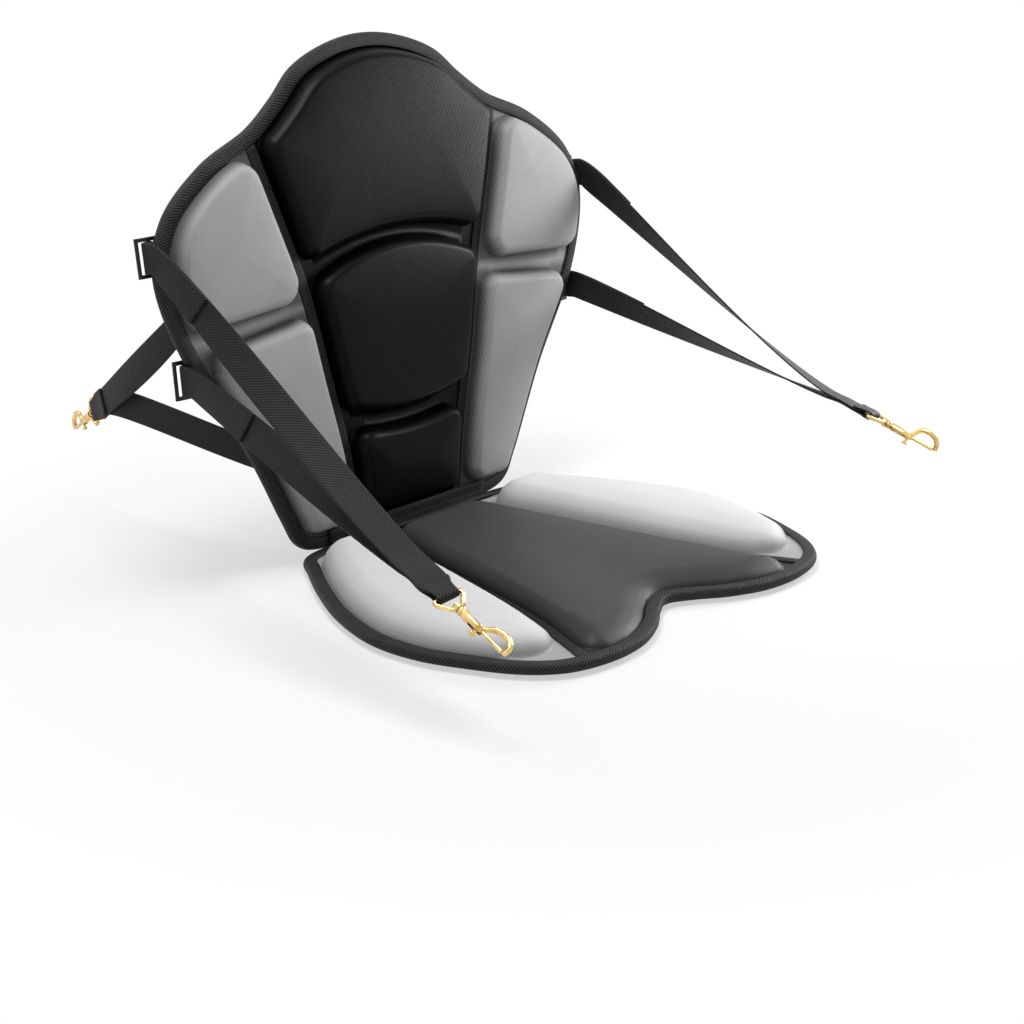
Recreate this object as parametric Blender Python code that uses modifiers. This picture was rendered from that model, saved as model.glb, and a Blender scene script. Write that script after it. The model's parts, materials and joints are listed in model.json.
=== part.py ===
# Kayak seat: moulded foam back and seat, webbing straps on four corners, swivel bolt snaps.
# Metres, +Z up. The origin is the middle of the seat's underside; the user faces -Y.

import math

import bmesh
import bpy
from mathutils import Matrix, Vector

for old in list(bpy.data.objects):
    bpy.data.objects.remove(old, do_unlink=True)

parts = bpy.data.collections.new("kayak_seat")
cutters = bpy.data.collections.new("cutters")
bpy.context.scene.collection.children.link(parts)
bpy.context.scene.collection.children.link(cutters)

# General fits
GAP = 0.0003  # clearance between touching pieces
FOLD_Y = 0.18  # where the back stands up, behind the origin
LEAN_SETBACK = 0.04575  # how far the back has leaned away at LEAN_HEIGHT
LEAN_HEIGHT = 0.446
BACK_LEAN = LEAN_SETBACK / LEAN_HEIGHT ** 2

# Outlines, right half: half width, then height up the back or distance forward of the fold
BACK_RIM = (
    (0.0, 0.008), (0.06, 0.008), (0.108, 0.008), (0.134, 0.017), (0.150, 0.044),
    (0.188, 0.120), (0.240, 0.200), (0.2625, 0.270), (0.247, 0.320), (0.200, 0.3575),
    (0.147, 0.380), (0.114, 0.402), (0.084, 0.426), (0.042, 0.441), (0.0, 0.446),
)
SEAT_RIM = (
    (0.0, 0.0065), (0.06, 0.0065), (0.112, 0.0065), (0.140, 0.0145), (0.156, 0.036),
    (0.184, 0.078), (0.212, 0.130), (0.2295, 0.185), (0.2285, 0.235), (0.213, 0.280),
    (0.193, 0.318), (0.165, 0.343), (0.125, 0.3535), (0.085, 0.351), (0.050, 0.337),
    (0.022, 0.318), (0.0, 0.308),
)
# Seams between the middle and the side panels: distance along, then half width
BACK_SEAM = ((0.0, 0.064), (0.08, 0.072), (0.16, 0.090), (0.24, 0.107), (0.32, 0.1325), (0.40, 0.158))
SEAT_SEAM = ((0.0, 0.050), (0.08, 0.070), (0.17, 0.090), (0.25, 0.110), (0.31, 0.1325), (0.37, 0.160))

# Layers of the back, measured forward of the sheet behind its pads
FLANGE = 0.0025  # pressed foam between the pads
STIFFENER = 0.0012
REAR_COVER = 0.0020
STIFFENER_INSET = 0.016

# Layers of the seat
BASE_SOLE = 0.0050  # the sole stands this far below the edge of the base
BASE_EDGE = 0.0020
SEAT_FLANGE = 0.0025

# Binding round both rims
BIND_WALL = 0.0016
BIND_REACH = 0.0120
BIND_SOFT = 0.0018
RIM_SAG = 0.0005  # how far a straight run of a rim may leave its curve
EDGE_ROOM = 0.0015  # between the binding and the edges it wraps
RIM_INSET = BIND_WALL + EDGE_ROOM
PAD_TO_BINDING = 0.0015

# Seam tapes
TAPE_WIDTH = 0.0110
TAPE_THICKNESS = 0.0012
SEAM_GAP = 0.0018
PAD_TO_TAPE = 0.0010
SIDE_PAD_TO_TAPE = 0.0025

# Pads of the back: heights on the centre line, the bow of their ends, and how far they rise
LOW_PAD = {"foot": 0.029, "head": 0.105, "foot_bow": 0.0, "head_bow": 0.0085}
MIDDLE_PAD = {"foot": 0.117, "head": 0.2695, "foot_bow": 0.0110, "head_bow": -0.0240}
CROWN_PAD = {"foot": 0.2785, "foot_bow": -0.0170}
LOW_SIDE_PAD = {"foot": 0.026, "head": 0.2200, "outer_head": 0.2060}
HIGH_SIDE_PAD = {"foot": 0.2320, "outer_foot": 0.2235}
SHOULDER_HEIGHT = 0.330  # where a wing's top edge turns into its side
BACK_PAD_RISE = 0.0150
BACK_PAD_EDGE = 0.0130
BACK_PAD_CORNER = 0.0200
BACK_PAD_CROWN = 0.0035

# Pads of the seat
SEAT_PAD_START = 0.038
LEAF_START = 0.030
LEAF_END_X = 0.196  # where the leaf's outer edge turns to its front end
CENTRE_RISE = 0.0165
CENTRE_FRONT_RISE = 0.0095
CENTRE_EDGE = 0.0130
LEAF_RISE = 0.0235
LEAF_FRONT_RISE = 0.0125
LEAF_EDGE = 0.0240
SEAT_PAD_CORNER = 0.0260
SEAT_PAD_CROWN = 0.0030

# Fold gusset
GUSSET_HALF = 0.100
GUSSET_UP = 0.0120
GUSSET_FORWARD = 0.0150
GUSSET_THICKNESS = 0.0012

# Webbing
WEB_WIDTH = 0.0254
WEB_THICKNESS = 0.0015
BAND_HEIGHTS = {"upper": 0.292, "lower": 0.187}
TAIL_LENGTHS = {"upper": 0.046, "lower": 0.060}

# Ladder-lock buckle, measured outward from the edge of the back
BAR_RADIUS = 0.00175
FIXED_BAR = -0.0155
WRAP_BAR = -0.0065
OUTER_BAR = 0.0050
OUTER_BAR_BACK = 0.0015
RAIL_THICKNESS = 0.0030
RAIL_CLEARANCE = 0.0006

# Swivel bolt snap, measured from its strap bar along its length
EYE_WIRE = 0.0019
EYE_HALF = 0.0125
EYE_SIDE = 0.0040
BOSS_START = 0.0115
BOSS_END = 0.0155
BOSS_RADIUS = 0.0040
STUD_RADIUS = 0.0015
STUD_CLEARANCE = 0.0003
RIVET_RADIUS = 0.0024
RIVET_LENGTH = 0.0016
BARREL_START = BOSS_END + GAP
BARREL_END = 0.0420
BARREL_RADIUS = 0.0037
BOLT_RADIUS = 0.0016
BOLT_CLEARANCE = 0.0003
BOLT_REAR = 0.0330
BORE_START = 0.0185
HOOK_WIRE = 0.0022
HOOK_TIP = 0.0665
HOOK_BOW = 0.0118
BOLT_TRAVEL = 0.0080
KNOB_AT = 0.0385
KNOB_POST = 0.0012
KNOB_RADIUS = 0.0028
KNOB_REACH = 0.0082
SLOT_WIDTH = 0.0030
SPRING_RADIUS = 0.0011
SPRING_WIRE = 0.0003
SPRING_TURNS = 5
SPRING_SIDES = 6

FRONT_LEFT_SNAP_OUT = 0.2855  # how far out, ahead and up each snap's strap bar lies
FRONT_LEFT_SNAP_AHEAD = 0.147
FRONT_LEFT_SNAP_UP = 0.098
FRONT_RIGHT_SNAP_OUT = 0.278
FRONT_RIGHT_SNAP_AHEAD = 0.141
FRONT_RIGHT_SNAP_UP = 0.110
REAR_SNAP_OUT = 0.168
REAR_SNAP_BACK = 0.413
REAR_SNAP_UP = 0.103
# Where each strap's free end was laid: the snap's strap bar, its tip's direction, whether the
# bar lies level, and how far the hook has swivelled from the bar, in degrees
SNAP_PLACES = {
    "front_left": {
        "bar": (-FRONT_LEFT_SNAP_OUT, -FRONT_LEFT_SNAP_AHEAD, FRONT_LEFT_SNAP_UP),
        "to": (-0.09, -0.913, -0.40), "flat": True, "turn": 0,
    },
    "front_right": {
        "bar": (FRONT_RIGHT_SNAP_OUT, -FRONT_RIGHT_SNAP_AHEAD, FRONT_RIGHT_SNAP_UP),
        "to": (0.092, -0.940, -0.33), "flat": True, "turn": 98,
    },
    "rear_left": {
        "bar": (-REAR_SNAP_OUT, REAR_SNAP_BACK, REAR_SNAP_UP),
        "to": (0.265, 0.830, -0.490), "flat": False, "turn": 0,
    },
    "rear_right": {
        "bar": (REAR_SNAP_OUT, REAR_SNAP_BACK, REAR_SNAP_UP),
        "to": (-0.265, 0.830, -0.490), "flat": False, "turn": 0,
    },
}
LOOP_RETURN = {"front": 0.016, "rear": 0.032}
LOOP_HALF = 0.0092  # the webbing is gathered to this half width in the eye
STITCH_LENGTH = 0.030
STRAP_SAG = 0.0120  # how far the middle handles of a strap hang below its straight run
STRAIGHTENED = 0.12  # share of a strap over which it turns square to its run
REAR_UPPER_X = 0.205  # where the rear straps are sewn to the back
REAR_OVER_BAND = 0.0080  # the upper rear strap is sewn across the upper band, this far over it
REAR_UNDER_BAND = 0.0200
REAR_UPPER_TOP = BAND_HEIGHTS["upper"] + REAR_OVER_BAND
REAR_UPPER_FOOT = BAND_HEIGHTS["upper"] - REAR_UNDER_BAND
REAR_LOWER_X = 0.120
REAR_LOWER_Z = 0.088
REAR_SEWN = 0.0300

LAYER = WEB_THICKNESS + GAP
WEB_HALF = WEB_WIDTH / 2
COVER_BACK = GAP + STIFFENER + GAP + REAR_COVER
BIND_FRONT = FLANGE + GAP + BIND_WALL
BIND_BACK = COVER_BACK + GAP + BIND_WALL
SEAT_BOTTOM = BASE_SOLE + BASE_EDGE + GAP
SEAT_TOP = SEAT_BOTTOM + SEAT_FLANGE


# Materials
def material(name, colour, roughness, metallic=0.0):
    made = bpy.data.materials.new(name)
    made.use_nodes = True
    shader = made.node_tree.nodes["Principled BSDF"]
    shader.inputs["Base Color"].default_value = (*colour, 1.0)
    shader.inputs["Roughness"].default_value = roughness
    shader.inputs["Metallic"].default_value = metallic
    return made


BLACK_FABRIC = material("black_fabric", (0.012, 0.012, 0.013), 0.75)
GREY_FABRIC = material("grey_fabric", (0.42, 0.42, 0.43), 0.65)
DARK_FABRIC = material("dark_fabric", (0.085, 0.085, 0.088), 0.70)
BINDING_TAPE = material("binding_tape", (0.020, 0.020, 0.022), 0.80)
WEBBING = material("webbing", (0.030, 0.030, 0.032), 0.65)
BLACK_PLASTIC = material("black_plastic", (0.018, 0.018, 0.018), 0.45)
SHEET_PLASTIC = material("sheet_plastic", (0.10, 0.10, 0.10), 0.50)
BRASS = material("brass", (0.80, 0.56, 0.22), 0.22, 1.0)
SPRING_STEEL = material("spring_steel", (0.55, 0.55, 0.56), 0.30, 1.0)


# Curves and outlines
def cubic(before, start, end, after, share):
    """A point between start and end on the smooth curve through four points."""
    square = share * share
    cube = square * share
    return (
        start * 2
        + (end - before) * share
        + (before * 2 - start * 5 + end * 4 - after) * square
        + (start * 3 - before - end * 3 + after) * cube
    ) * 0.5


def smooth(points, steps):
    """The open smooth curve through the points, with so many steps to a span."""
    points = [Vector(point) for point in points]
    ends = [points[0] * 2 - points[1], *points, points[-1] * 2 - points[-2]]
    curve = []
    for index in range(1, len(ends) - 2):
        for step in range(steps):
            curve.append(cubic(*ends[index - 1:index + 3], step / steps))
    return [*curve, points[-1]]


def value_at(table, at):
    """The half width of a seam at a distance along it."""
    run = smooth([(along, half, 0.0) for along, half in table], 8)
    for low, high in zip(run, run[1:]):
        if low.x <= at <= high.x:
            return low.y + (high.y - low.y) * (at - low.x) / (high.x - low.x)
    return run[0].y if at < run[0].x else run[-1].y


def spaced(curve, count):
    """A curve's points, moved so that they are evenly spaced."""
    lengths = [0.0]
    for low, high in zip(curve, curve[1:]):
        lengths.append(lengths[-1] + (high - low).length)
    placed = []
    index = 0
    for step in range(count):
        want = lengths[-1] * step / (count - 1)
        while index < len(curve) - 2 and lengths[index + 1] < want:
            index += 1
        span = lengths[index + 1] - lengths[index]
        placed.append(curve[index].lerp(curve[index + 1], (want - lengths[index]) / span))
    return placed


class Rim:
    """The right half of an outline, from the middle of its foot to the middle of its head."""

    def __init__(self, points, count=241):
        mirrored = [(-points[1][0], points[1][1], 0.0)]
        mirrored += [(across, along, 0.0) for across, along in points]
        mirrored += [(-points[-2][0], points[-2][1], 0.0)]
        run = smooth(mirrored, 12)[12:-12]
        self.points = spaced(run, count)
        self.normals = []
        for index in range(count):
            before = self.points[max(index - 1, 0)]
            after = self.points[min(index + 1, count - 1)]
            along = (after - before).normalized()
            if index in (0, count - 1):
                along = Vector((1.0 if index == 0 else -1.0, 0.0, 0.0))
            self.normals.append(Vector((-along.y, along.x, 0.0)))
        self.last = count - 1

    def at(self, share, inset):
        """The point at a share of the half rim, moved inwards."""
        place = min(max(share, 0.0), 1.0) * self.last
        low = min(int(place), self.last - 1)
        point = self.points[low].lerp(self.points[low + 1], place - low)
        normal = self.normals[low].lerp(self.normals[low + 1], place - low).normalized()
        return point + normal * inset

    def find(self, test, inset, start=0.0, end=1.0):
        """The first share from start on where the test of the moved point turns true."""
        steps = 600
        for step in range(steps + 1):
            share = start + (end - start) * step / steps
            if test(self.at(share, inset)):
                return share
        return end

    def stations(self, sag):
        """Shares whose straight runs stay within a sag of the outline."""
        shares = [0]
        while shares[-1] < self.last:
            start = shares[-1]
            end = start + 1
            while end < self.last:
                middle = self.points[(start + end + 1) // 2]
                chord = self.points[end + 1] - self.points[start]
                away = (middle - self.points[start]).cross(chord).length / chord.length
                if away > sag or chord.length > 0.045:
                    break
                end += 1
            shares.append(end)
        return [index / self.last for index in shares]

    def half_width(self, along, inset=0.0):
        """The largest half width at a distance along."""
        widest = 0.0
        for index in range(self.last):
            low = self.at(index / self.last, inset)
            high = self.at((index + 1) / self.last, inset)
            if min(low.y, high.y) <= along <= max(low.y, high.y) and low.y != high.y:
                widest = max(widest, low.x + (high.x - low.x) * (along - low.y) / (high.y - low.y))
        return widest


BACK = Rim(BACK_RIM)
SEAT = Rim(SEAT_RIM)


# Forming: flat pattern coordinates to the standing back and the lying seat
def back_normal(height):
    slope = 2 * BACK_LEAN * max(height, 0.0)
    return Vector((0.0, -1.0, slope)).normalized()


def on_back(across, height, forward):
    """A point of the back's pattern, so far in front of the sheet behind its pads."""
    lean = BACK_LEAN * max(height, 0.0) ** 2
    return Vector((across, FOLD_Y + lean, height)) + back_normal(height) * forward


def on_seat(across, ahead, up):
    """A point of the seat's pattern, so far above the floor."""
    return Vector((across, FOLD_Y - ahead, up))


def finish(name, made, finish_material, smooth_angle=35):
    """Puts a new object in the seat's collection with its own finish."""
    made.name = name
    made.data.name = name
    made.data.materials.clear()
    made.data.materials.append(finish_material)
    for group in list(made.users_collection):
        group.objects.unlink(made)
    parts.objects.link(made)
    if smooth_angle:
        made.data.shade_smooth()
        made.data.set_sharp_from_angle(angle=math.radians(smooth_angle))
    return made


def outward(mesh_builder):
    """Turns every face of a closed mesh outwards."""
    mesh_builder.normal_update()
    bmesh.ops.recalc_face_normals(mesh_builder, faces=list(mesh_builder.faces))


def object_from(name, mesh_builder):
    mesh = bpy.data.meshes.new(name)
    mesh_builder.to_mesh(mesh)
    mesh_builder.free()
    made = bpy.data.objects.new(name, mesh)
    cutters.objects.link(made)
    return made


def sheet(name, rows, place, back_level, finish_material):
    """A closed sheet from rows of (across, along, level) points, flat behind at back_level."""
    columns = len(rows[0])
    grid = bmesh.new()
    bmesh.ops.create_grid(grid, x_segments=columns - 1, y_segments=len(rows) - 1, size=1)
    flat = grid.verts.layers.float_vector.new("flat")
    for vertex in grid.verts:
        column = round((vertex.co.x + 1) / 2 * (columns - 1))
        row = round((vertex.co.y + 1) / 2 * (len(rows) - 1))
        vertex[flat] = Vector(rows[row][column])
    backed = bmesh.ops.extrude_face_region(grid, geom=list(grid.faces))
    for item in backed["geom"]:
        if isinstance(item, bmesh.types.BMVert):
            item[flat] = Vector((item[flat].x, item[flat].y, back_level))
    for vertex in grid.verts:
        vertex.co = place(*vertex[flat])
    bmesh.ops.remove_doubles(grid, verts=list(grid.verts), dist=0.00005)
    outward(grid)
    return finish(name, object_from(name, grid), finish_material)


# Moulded pads
ROW_SHARES = (0.0, 0.05, 0.13, 0.28, 0.50, 0.72, 0.87, 0.95, 1.0)
COLUMN_SHARES = (0.0, 0.05, 0.12, 0.24, 0.41, 0.59, 0.76, 0.88, 0.95, 1.0)


def coons(pad, across, along):
    """The point of a four-sided patch at its two shares."""
    left, right = pad["left"](along), pad["right"](along)
    foot, head = pad["foot"](across), pad["head"](across)
    corners = (
        (pad["left"](0) * (1 - across) + pad["right"](0) * across) * (1 - along)
        + (pad["left"](1) * (1 - across) + pad["right"](1) * across) * along
    )
    return left * (1 - across) + right * across + foot * (1 - along) + head * along - corners


def rise_of(pad, across, along, width, length):
    """How far a pad stands above its flange: steep sides, round corners, a crowned face."""
    side = min(across, 1 - across) * width
    end = min(along, 1 - along) * length
    corner = min(pad["corner"], width / 2.2, length / 2.2)
    depth = min(side, end)
    if side < corner and end < corner:
        depth = corner - math.hypot(corner - side, corner - end)
    if depth <= 0:
        return 0.0
    share = min(depth / pad["edge"], 1.0)
    rise = pad["rise"] + (pad["head_rise"] - pad["rise"]) * along
    bulge = pad["crown"] * (1 - (2 * across - 1) ** 2) * (1 - (2 * along - 1) ** 2)
    return rise * math.sqrt(1 - (1 - share) ** 2) + bulge * share


NOTCH_COLUMNS = (
    0.0, 0.05, 0.13, 0.25, 0.36, 0.43, 0.47, 0.50, 0.53, 0.57, 0.64, 0.75, 0.87, 0.95, 1.0,
)


def pad_rows(pad, flange_level):
    """Rows across one pad with a flange point at each end of every row."""
    rows = []
    width = (pad["right"](0.5) - pad["left"](0.5)).length
    length = (pad["head"](0.5) - pad["foot"](0.5)).length
    for along in ROW_SHARES:
        row = [(*pad["left_edge"](along).xy, flange_level)]
        for across in pad.get("columns", COLUMN_SHARES):
            point = coons(pad, across, along)
            row.append((point.x, point.y, flange_level + rise_of(pad, across, along, width, length)))
        rows.append([*row, (*pad["right_edge"](along).xy, flange_level)])
    return rows


def panel(name, pads, foot_row, head_row, place, back_level, flange_level, finish_material):
    rows = [[(*point.xy, flange_level) for point in foot_row]]
    for pad in pads:
        rows += pad_rows(pad, flange_level)
    rows.append([(*point.xy, flange_level) for point in head_row])
    return sheet(name, rows, place, back_level, finish_material)


def lerp2(start, end):
    start, end = Vector((*start, 0.0)), Vector((*end, 0.0))
    return lambda share: start.lerp(end, share)


def flipped(point):
    return Vector((-point.x, point.y, 0.0))


PAD_INSET = BIND_REACH + PAD_TO_BINDING
MIDDLE_MARGIN = TAPE_WIDTH / 2 + PAD_TO_TAPE
SIDE_MARGIN = TAPE_WIDTH / 2 + SIDE_PAD_TO_TAPE


def bowed(margin, centre, bow, seam_table):
    """An end of a middle pad: so high on the centre line, bowed towards the seams."""
    def run(share):
        half = value_at(seam_table, centre + bow) - margin
        side = 2 * share - 1
        return Vector((half * side, centre + bow * side * side, 0.0))
    return run


def seam_side(table, start, end, sign, offset):
    """A run along a seam at an offset to its side."""
    def run(share):
        along = start + (end - start) * share
        return Vector((sign * (value_at(table, along) + offset), along, 0.0))
    return run


def rim_run(rim, start, end, inset, mirror=False):
    def run(share):
        point = rim.at(start + (end - start) * share, inset)
        return flipped(point) if mirror else point
    return run


def over_head(rim, share_at_seam, inset):
    """The head of an outline from its left seam over the middle to its right seam."""
    def run(share):
        side = 2 * share - 1
        point = rim.at(1 - abs(side) * (1 - share_at_seam), inset)
        return flipped(point) if side < 0 else point
    return run


BACK_PAD = {
    "rise": BACK_PAD_RISE, "head_rise": BACK_PAD_RISE, "edge": BACK_PAD_EDGE,
    "corner": BACK_PAD_CORNER, "crown": BACK_PAD_CROWN,
}


def middle_pad(foot, head):
    """A pad of the back's middle panel between two ends."""
    pad = dict(BACK_PAD)
    start, end = foot(0).y, head(0).y
    pad["foot"], pad["head"] = foot, head
    pad["left"] = seam_side(BACK_SEAM, start, end, -1, -MIDDLE_MARGIN)
    pad["right"] = seam_side(BACK_SEAM, start, end, 1, -MIDDLE_MARGIN)
    pad["left_edge"] = seam_side(BACK_SEAM, start, end, -1, -SEAM_GAP / 2)
    pad["right_edge"] = seam_side(BACK_SEAM, start, end, 1, -SEAM_GAP / 2)
    return pad


def back_centre_panel():
    low = middle_pad(
        bowed(MIDDLE_MARGIN, LOW_PAD["foot"], LOW_PAD["foot_bow"], BACK_SEAM),
        bowed(MIDDLE_MARGIN, LOW_PAD["head"], LOW_PAD["head_bow"], BACK_SEAM),
    )
    middle = middle_pad(
        bowed(MIDDLE_MARGIN, MIDDLE_PAD["foot"], MIDDLE_PAD["foot_bow"], BACK_SEAM),
        bowed(MIDDLE_MARGIN, MIDDLE_PAD["head"], MIDDLE_PAD["head_bow"], BACK_SEAM),
    )
    at_pad = BACK.find(
        lambda point: point.x <= value_at(BACK_SEAM, point.y) - MIDDLE_MARGIN, PAD_INSET, 0.5
    )
    at_seam = BACK.find(
        lambda point: point.x <= value_at(BACK_SEAM, point.y) - SEAM_GAP / 2, RIM_INSET, 0.5
    )
    crown = middle_pad(
        bowed(MIDDLE_MARGIN, CROWN_PAD["foot"], CROWN_PAD["foot_bow"], BACK_SEAM),
        over_head(BACK, at_pad, PAD_INSET),
    )
    foot_level = BACK.at(0, RIM_INSET).y
    foot_half = value_at(BACK_SEAM, foot_level)
    foot_row = [Vector((-foot_half + SEAM_GAP / 2, foot_level, 0))]
    foot_row += [
        Vector(((2 * share - 1) * (foot_half - MIDDLE_MARGIN), foot_level, 0)) for share in COLUMN_SHARES
    ]
    foot_row += [Vector((foot_half - SEAM_GAP / 2, foot_level, 0))]
    head = over_head(BACK, at_pad, RIM_INSET)
    head_row = [flipped(BACK.at(at_seam, RIM_INSET))]
    head_row += [head(share) for share in COLUMN_SHARES]
    head_row += [BACK.at(at_seam, RIM_INSET)]
    return panel(
        "back_centre_panel", [low, middle, crown], foot_row, head_row,
        on_back, 0.0, FLANGE, BLACK_FABRIC,
    )


def side_row(rim, start_share, end_share):
    """A side panel's foot or head row, from its seam edge along the rim."""
    row = [rim.at(start_share, RIM_INSET)]
    for share in COLUMN_SHARES:
        row.append(rim.at(start_share + (end_share - start_share) * (0.08 + 0.86 * share), RIM_INSET))
    return [*row, rim.at(end_share, RIM_INSET)]


def back_side_panel(name, sign):
    shoulder = BACK.find(lambda point: point.y > SHOULDER_HEIGHT, 0.0)

    def rim_share(height, inset):
        return BACK.find(lambda point: point.y >= height and point.x > 0.1, inset)

    at_tape = BACK.find(
        lambda point: point.x <= value_at(BACK_SEAM, point.y) + SIDE_MARGIN, PAD_INSET, 0.5
    )
    at_seam = BACK.find(
        lambda point: point.x <= value_at(BACK_SEAM, point.y) + SEAM_GAP / 2, RIM_INSET, 0.5
    )
    low_foot = rim_share(LOW_SIDE_PAD["foot"], PAD_INSET)
    low_head = rim_share(LOW_SIDE_PAD["outer_head"], PAD_INSET)
    high_foot = rim_share(HIGH_SIDE_PAD["outer_foot"], PAD_INSET)
    top_in = BACK.at(at_tape, PAD_INSET)

    low = dict(BACK_PAD)
    low["left"] = seam_side(BACK_SEAM, LOW_SIDE_PAD["foot"], LOW_SIDE_PAD["head"], 1, SIDE_MARGIN)
    low["right"] = rim_run(BACK, low_foot, low_head, PAD_INSET)
    low["foot"] = lerp2(low["left"](0).xy, low["right"](0).xy)
    low["head"] = lerp2(low["left"](1).xy, low["right"](1).xy)
    low["left_edge"] = seam_side(BACK_SEAM, LOW_SIDE_PAD["foot"], LOW_SIDE_PAD["head"], 1, SEAM_GAP / 2)
    low["right_edge"] = rim_run(BACK, low_foot, low_head, RIM_INSET)

    high = dict(BACK_PAD)
    high["left"] = seam_side(BACK_SEAM, HIGH_SIDE_PAD["foot"], top_in.y, 1, SIDE_MARGIN)
    high["right"] = rim_run(BACK, high_foot, shoulder, PAD_INSET)
    high["foot"] = lerp2(high["left"](0).xy, high["right"](0).xy)
    high["head"] = rim_run(BACK, at_tape, shoulder, PAD_INSET)
    high["left_edge"] = seam_side(BACK_SEAM, HIGH_SIDE_PAD["foot"], top_in.y, 1, SEAM_GAP / 2)
    high["right_edge"] = rim_run(BACK, high_foot, shoulder, RIM_INSET)

    foot_seam = BACK.find(
        lambda point: point.x >= value_at(BACK_SEAM, point.y) + SEAM_GAP / 2, RIM_INSET
    )
    foot_row = side_row(BACK, foot_seam, low_foot - 0.006)
    head_row = side_row(BACK, at_seam, shoulder)
    return panel(
        name, [low, high], foot_row, head_row,
        lambda across, height, forward: on_back(sign * across, height, forward),
        0.0, FLANGE, GREY_FABRIC,
    )


def seat_centre_panel():
    front_pad = SEAT.find(
        lambda point: point.x <= value_at(SEAT_SEAM, point.y) - MIDDLE_MARGIN, PAD_INSET, 0.5
    )
    front_seam = SEAT.find(
        lambda point: point.x <= value_at(SEAT_SEAM, point.y) - SEAM_GAP / 2, RIM_INSET, 0.5
    )
    front = over_head(SEAT, front_pad, PAD_INSET)
    pad = {
        "rise": CENTRE_RISE, "head_rise": CENTRE_FRONT_RISE, "edge": CENTRE_EDGE,
        "corner": SEAT_PAD_CORNER, "crown": SEAT_PAD_CROWN, "columns": NOTCH_COLUMNS,
        "foot": bowed(MIDDLE_MARGIN, SEAT_PAD_START, 0.0, SEAT_SEAM),
        "head": front,
        "left": seam_side(SEAT_SEAM, SEAT_PAD_START, front(0).y, -1, -MIDDLE_MARGIN),
        "right": seam_side(SEAT_SEAM, SEAT_PAD_START, front(1).y, 1, -MIDDLE_MARGIN),
        "left_edge": seam_side(SEAT_SEAM, SEAT_PAD_START, front(0).y, -1, -SEAM_GAP / 2),
        "right_edge": seam_side(SEAT_SEAM, SEAT_PAD_START, front(1).y, 1, -SEAM_GAP / 2),
    }
    rear_level = SEAT.at(0, RIM_INSET).y
    rear_half = value_at(SEAT_SEAM, rear_level)
    rear_row = [Vector((-rear_half + SEAM_GAP / 2, rear_level, 0))]
    rear_row += [
        Vector(((2 * share - 1) * (rear_half - MIDDLE_MARGIN), rear_level, 0)) for share in NOTCH_COLUMNS
    ]
    rear_row += [Vector((rear_half - SEAM_GAP / 2, rear_level, 0))]
    head = over_head(SEAT, front_pad, RIM_INSET)
    front_row = [flipped(SEAT.at(front_seam, RIM_INSET))]
    front_row += [head(share) for share in NOTCH_COLUMNS]
    front_row += [SEAT.at(front_seam, RIM_INSET)]
    return panel(
        "seat_centre_panel", [pad], rear_row, front_row,
        on_seat, SEAT_BOTTOM, SEAT_TOP, DARK_FABRIC,
    )


def seat_side_panel(name, sign):
    leaf_rear = SEAT.find(lambda point: point.y >= LEAF_START and point.x > 0.1, PAD_INSET)
    turn = SEAT.find(lambda point: point.x < LEAF_END_X, 0.0, 0.55)
    front_in = SEAT.find(
        lambda point: point.x <= value_at(SEAT_SEAM, point.y) + SIDE_MARGIN, PAD_INSET, 0.5
    )
    front_seam = SEAT.find(
        lambda point: point.x <= value_at(SEAT_SEAM, point.y) + SEAM_GAP / 2, RIM_INSET, 0.5
    )
    front_level = SEAT.at(front_in, PAD_INSET).y
    pad = {
        "rise": LEAF_RISE, "head_rise": LEAF_FRONT_RISE, "edge": LEAF_EDGE,
        "corner": SEAT_PAD_CORNER, "crown": SEAT_PAD_CROWN,
        "left": seam_side(SEAT_SEAM, LEAF_START, front_level, 1, SIDE_MARGIN),
        "right": rim_run(SEAT, leaf_rear, turn, PAD_INSET),
        "head": rim_run(SEAT, front_in, turn, PAD_INSET),
        "left_edge": seam_side(SEAT_SEAM, LEAF_START, front_level, 1, SEAM_GAP / 2),
        "right_edge": rim_run(SEAT, leaf_rear, turn, RIM_INSET),
    }
    pad["foot"] = lerp2(pad["left"](0).xy, pad["right"](0).xy)
    rear_seam = SEAT.find(
        lambda point: point.x >= value_at(SEAT_SEAM, point.y) + SEAM_GAP / 2, RIM_INSET
    )
    rear_row = side_row(SEAT, rear_seam, leaf_rear - 0.006)
    front_row = side_row(SEAT, front_seam, turn)
    return panel(
        name, [pad], rear_row, front_row,
        lambda across, ahead, up: on_seat(sign * across, ahead, up),
        SEAT_BOTTOM, SEAT_TOP, GREY_FABRIC,
    )


# Sheets cut to the outline of the back
def back_sheet(name, inset, front, back, finish_material):
    """A sheet of the back, so far inside the rim, between two levels."""
    first = BACK.find(lambda point: point.x > 0.8 * BACK_RIM[2][0], inset)
    rows = []
    for share in [first, *[share for share in BACK.stations(RIM_SAG) if first + 0.01 < share < 0.99], 0.995]:
        point = BACK.at(share, inset)
        rows.append([(-point.x, point.y, front), (point.x, point.y, front)])
    return sheet(name, rows, on_back, back, finish_material)


def rim_loop(rim, inset):
    """A whole outline, moved inwards, as a closed run of points."""
    right = [rim.at(share, inset) for share in rim.stations(RIM_SAG)]
    left = [flipped(point) for point in right[1:-1]]
    return [*right, *reversed(left)]


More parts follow.
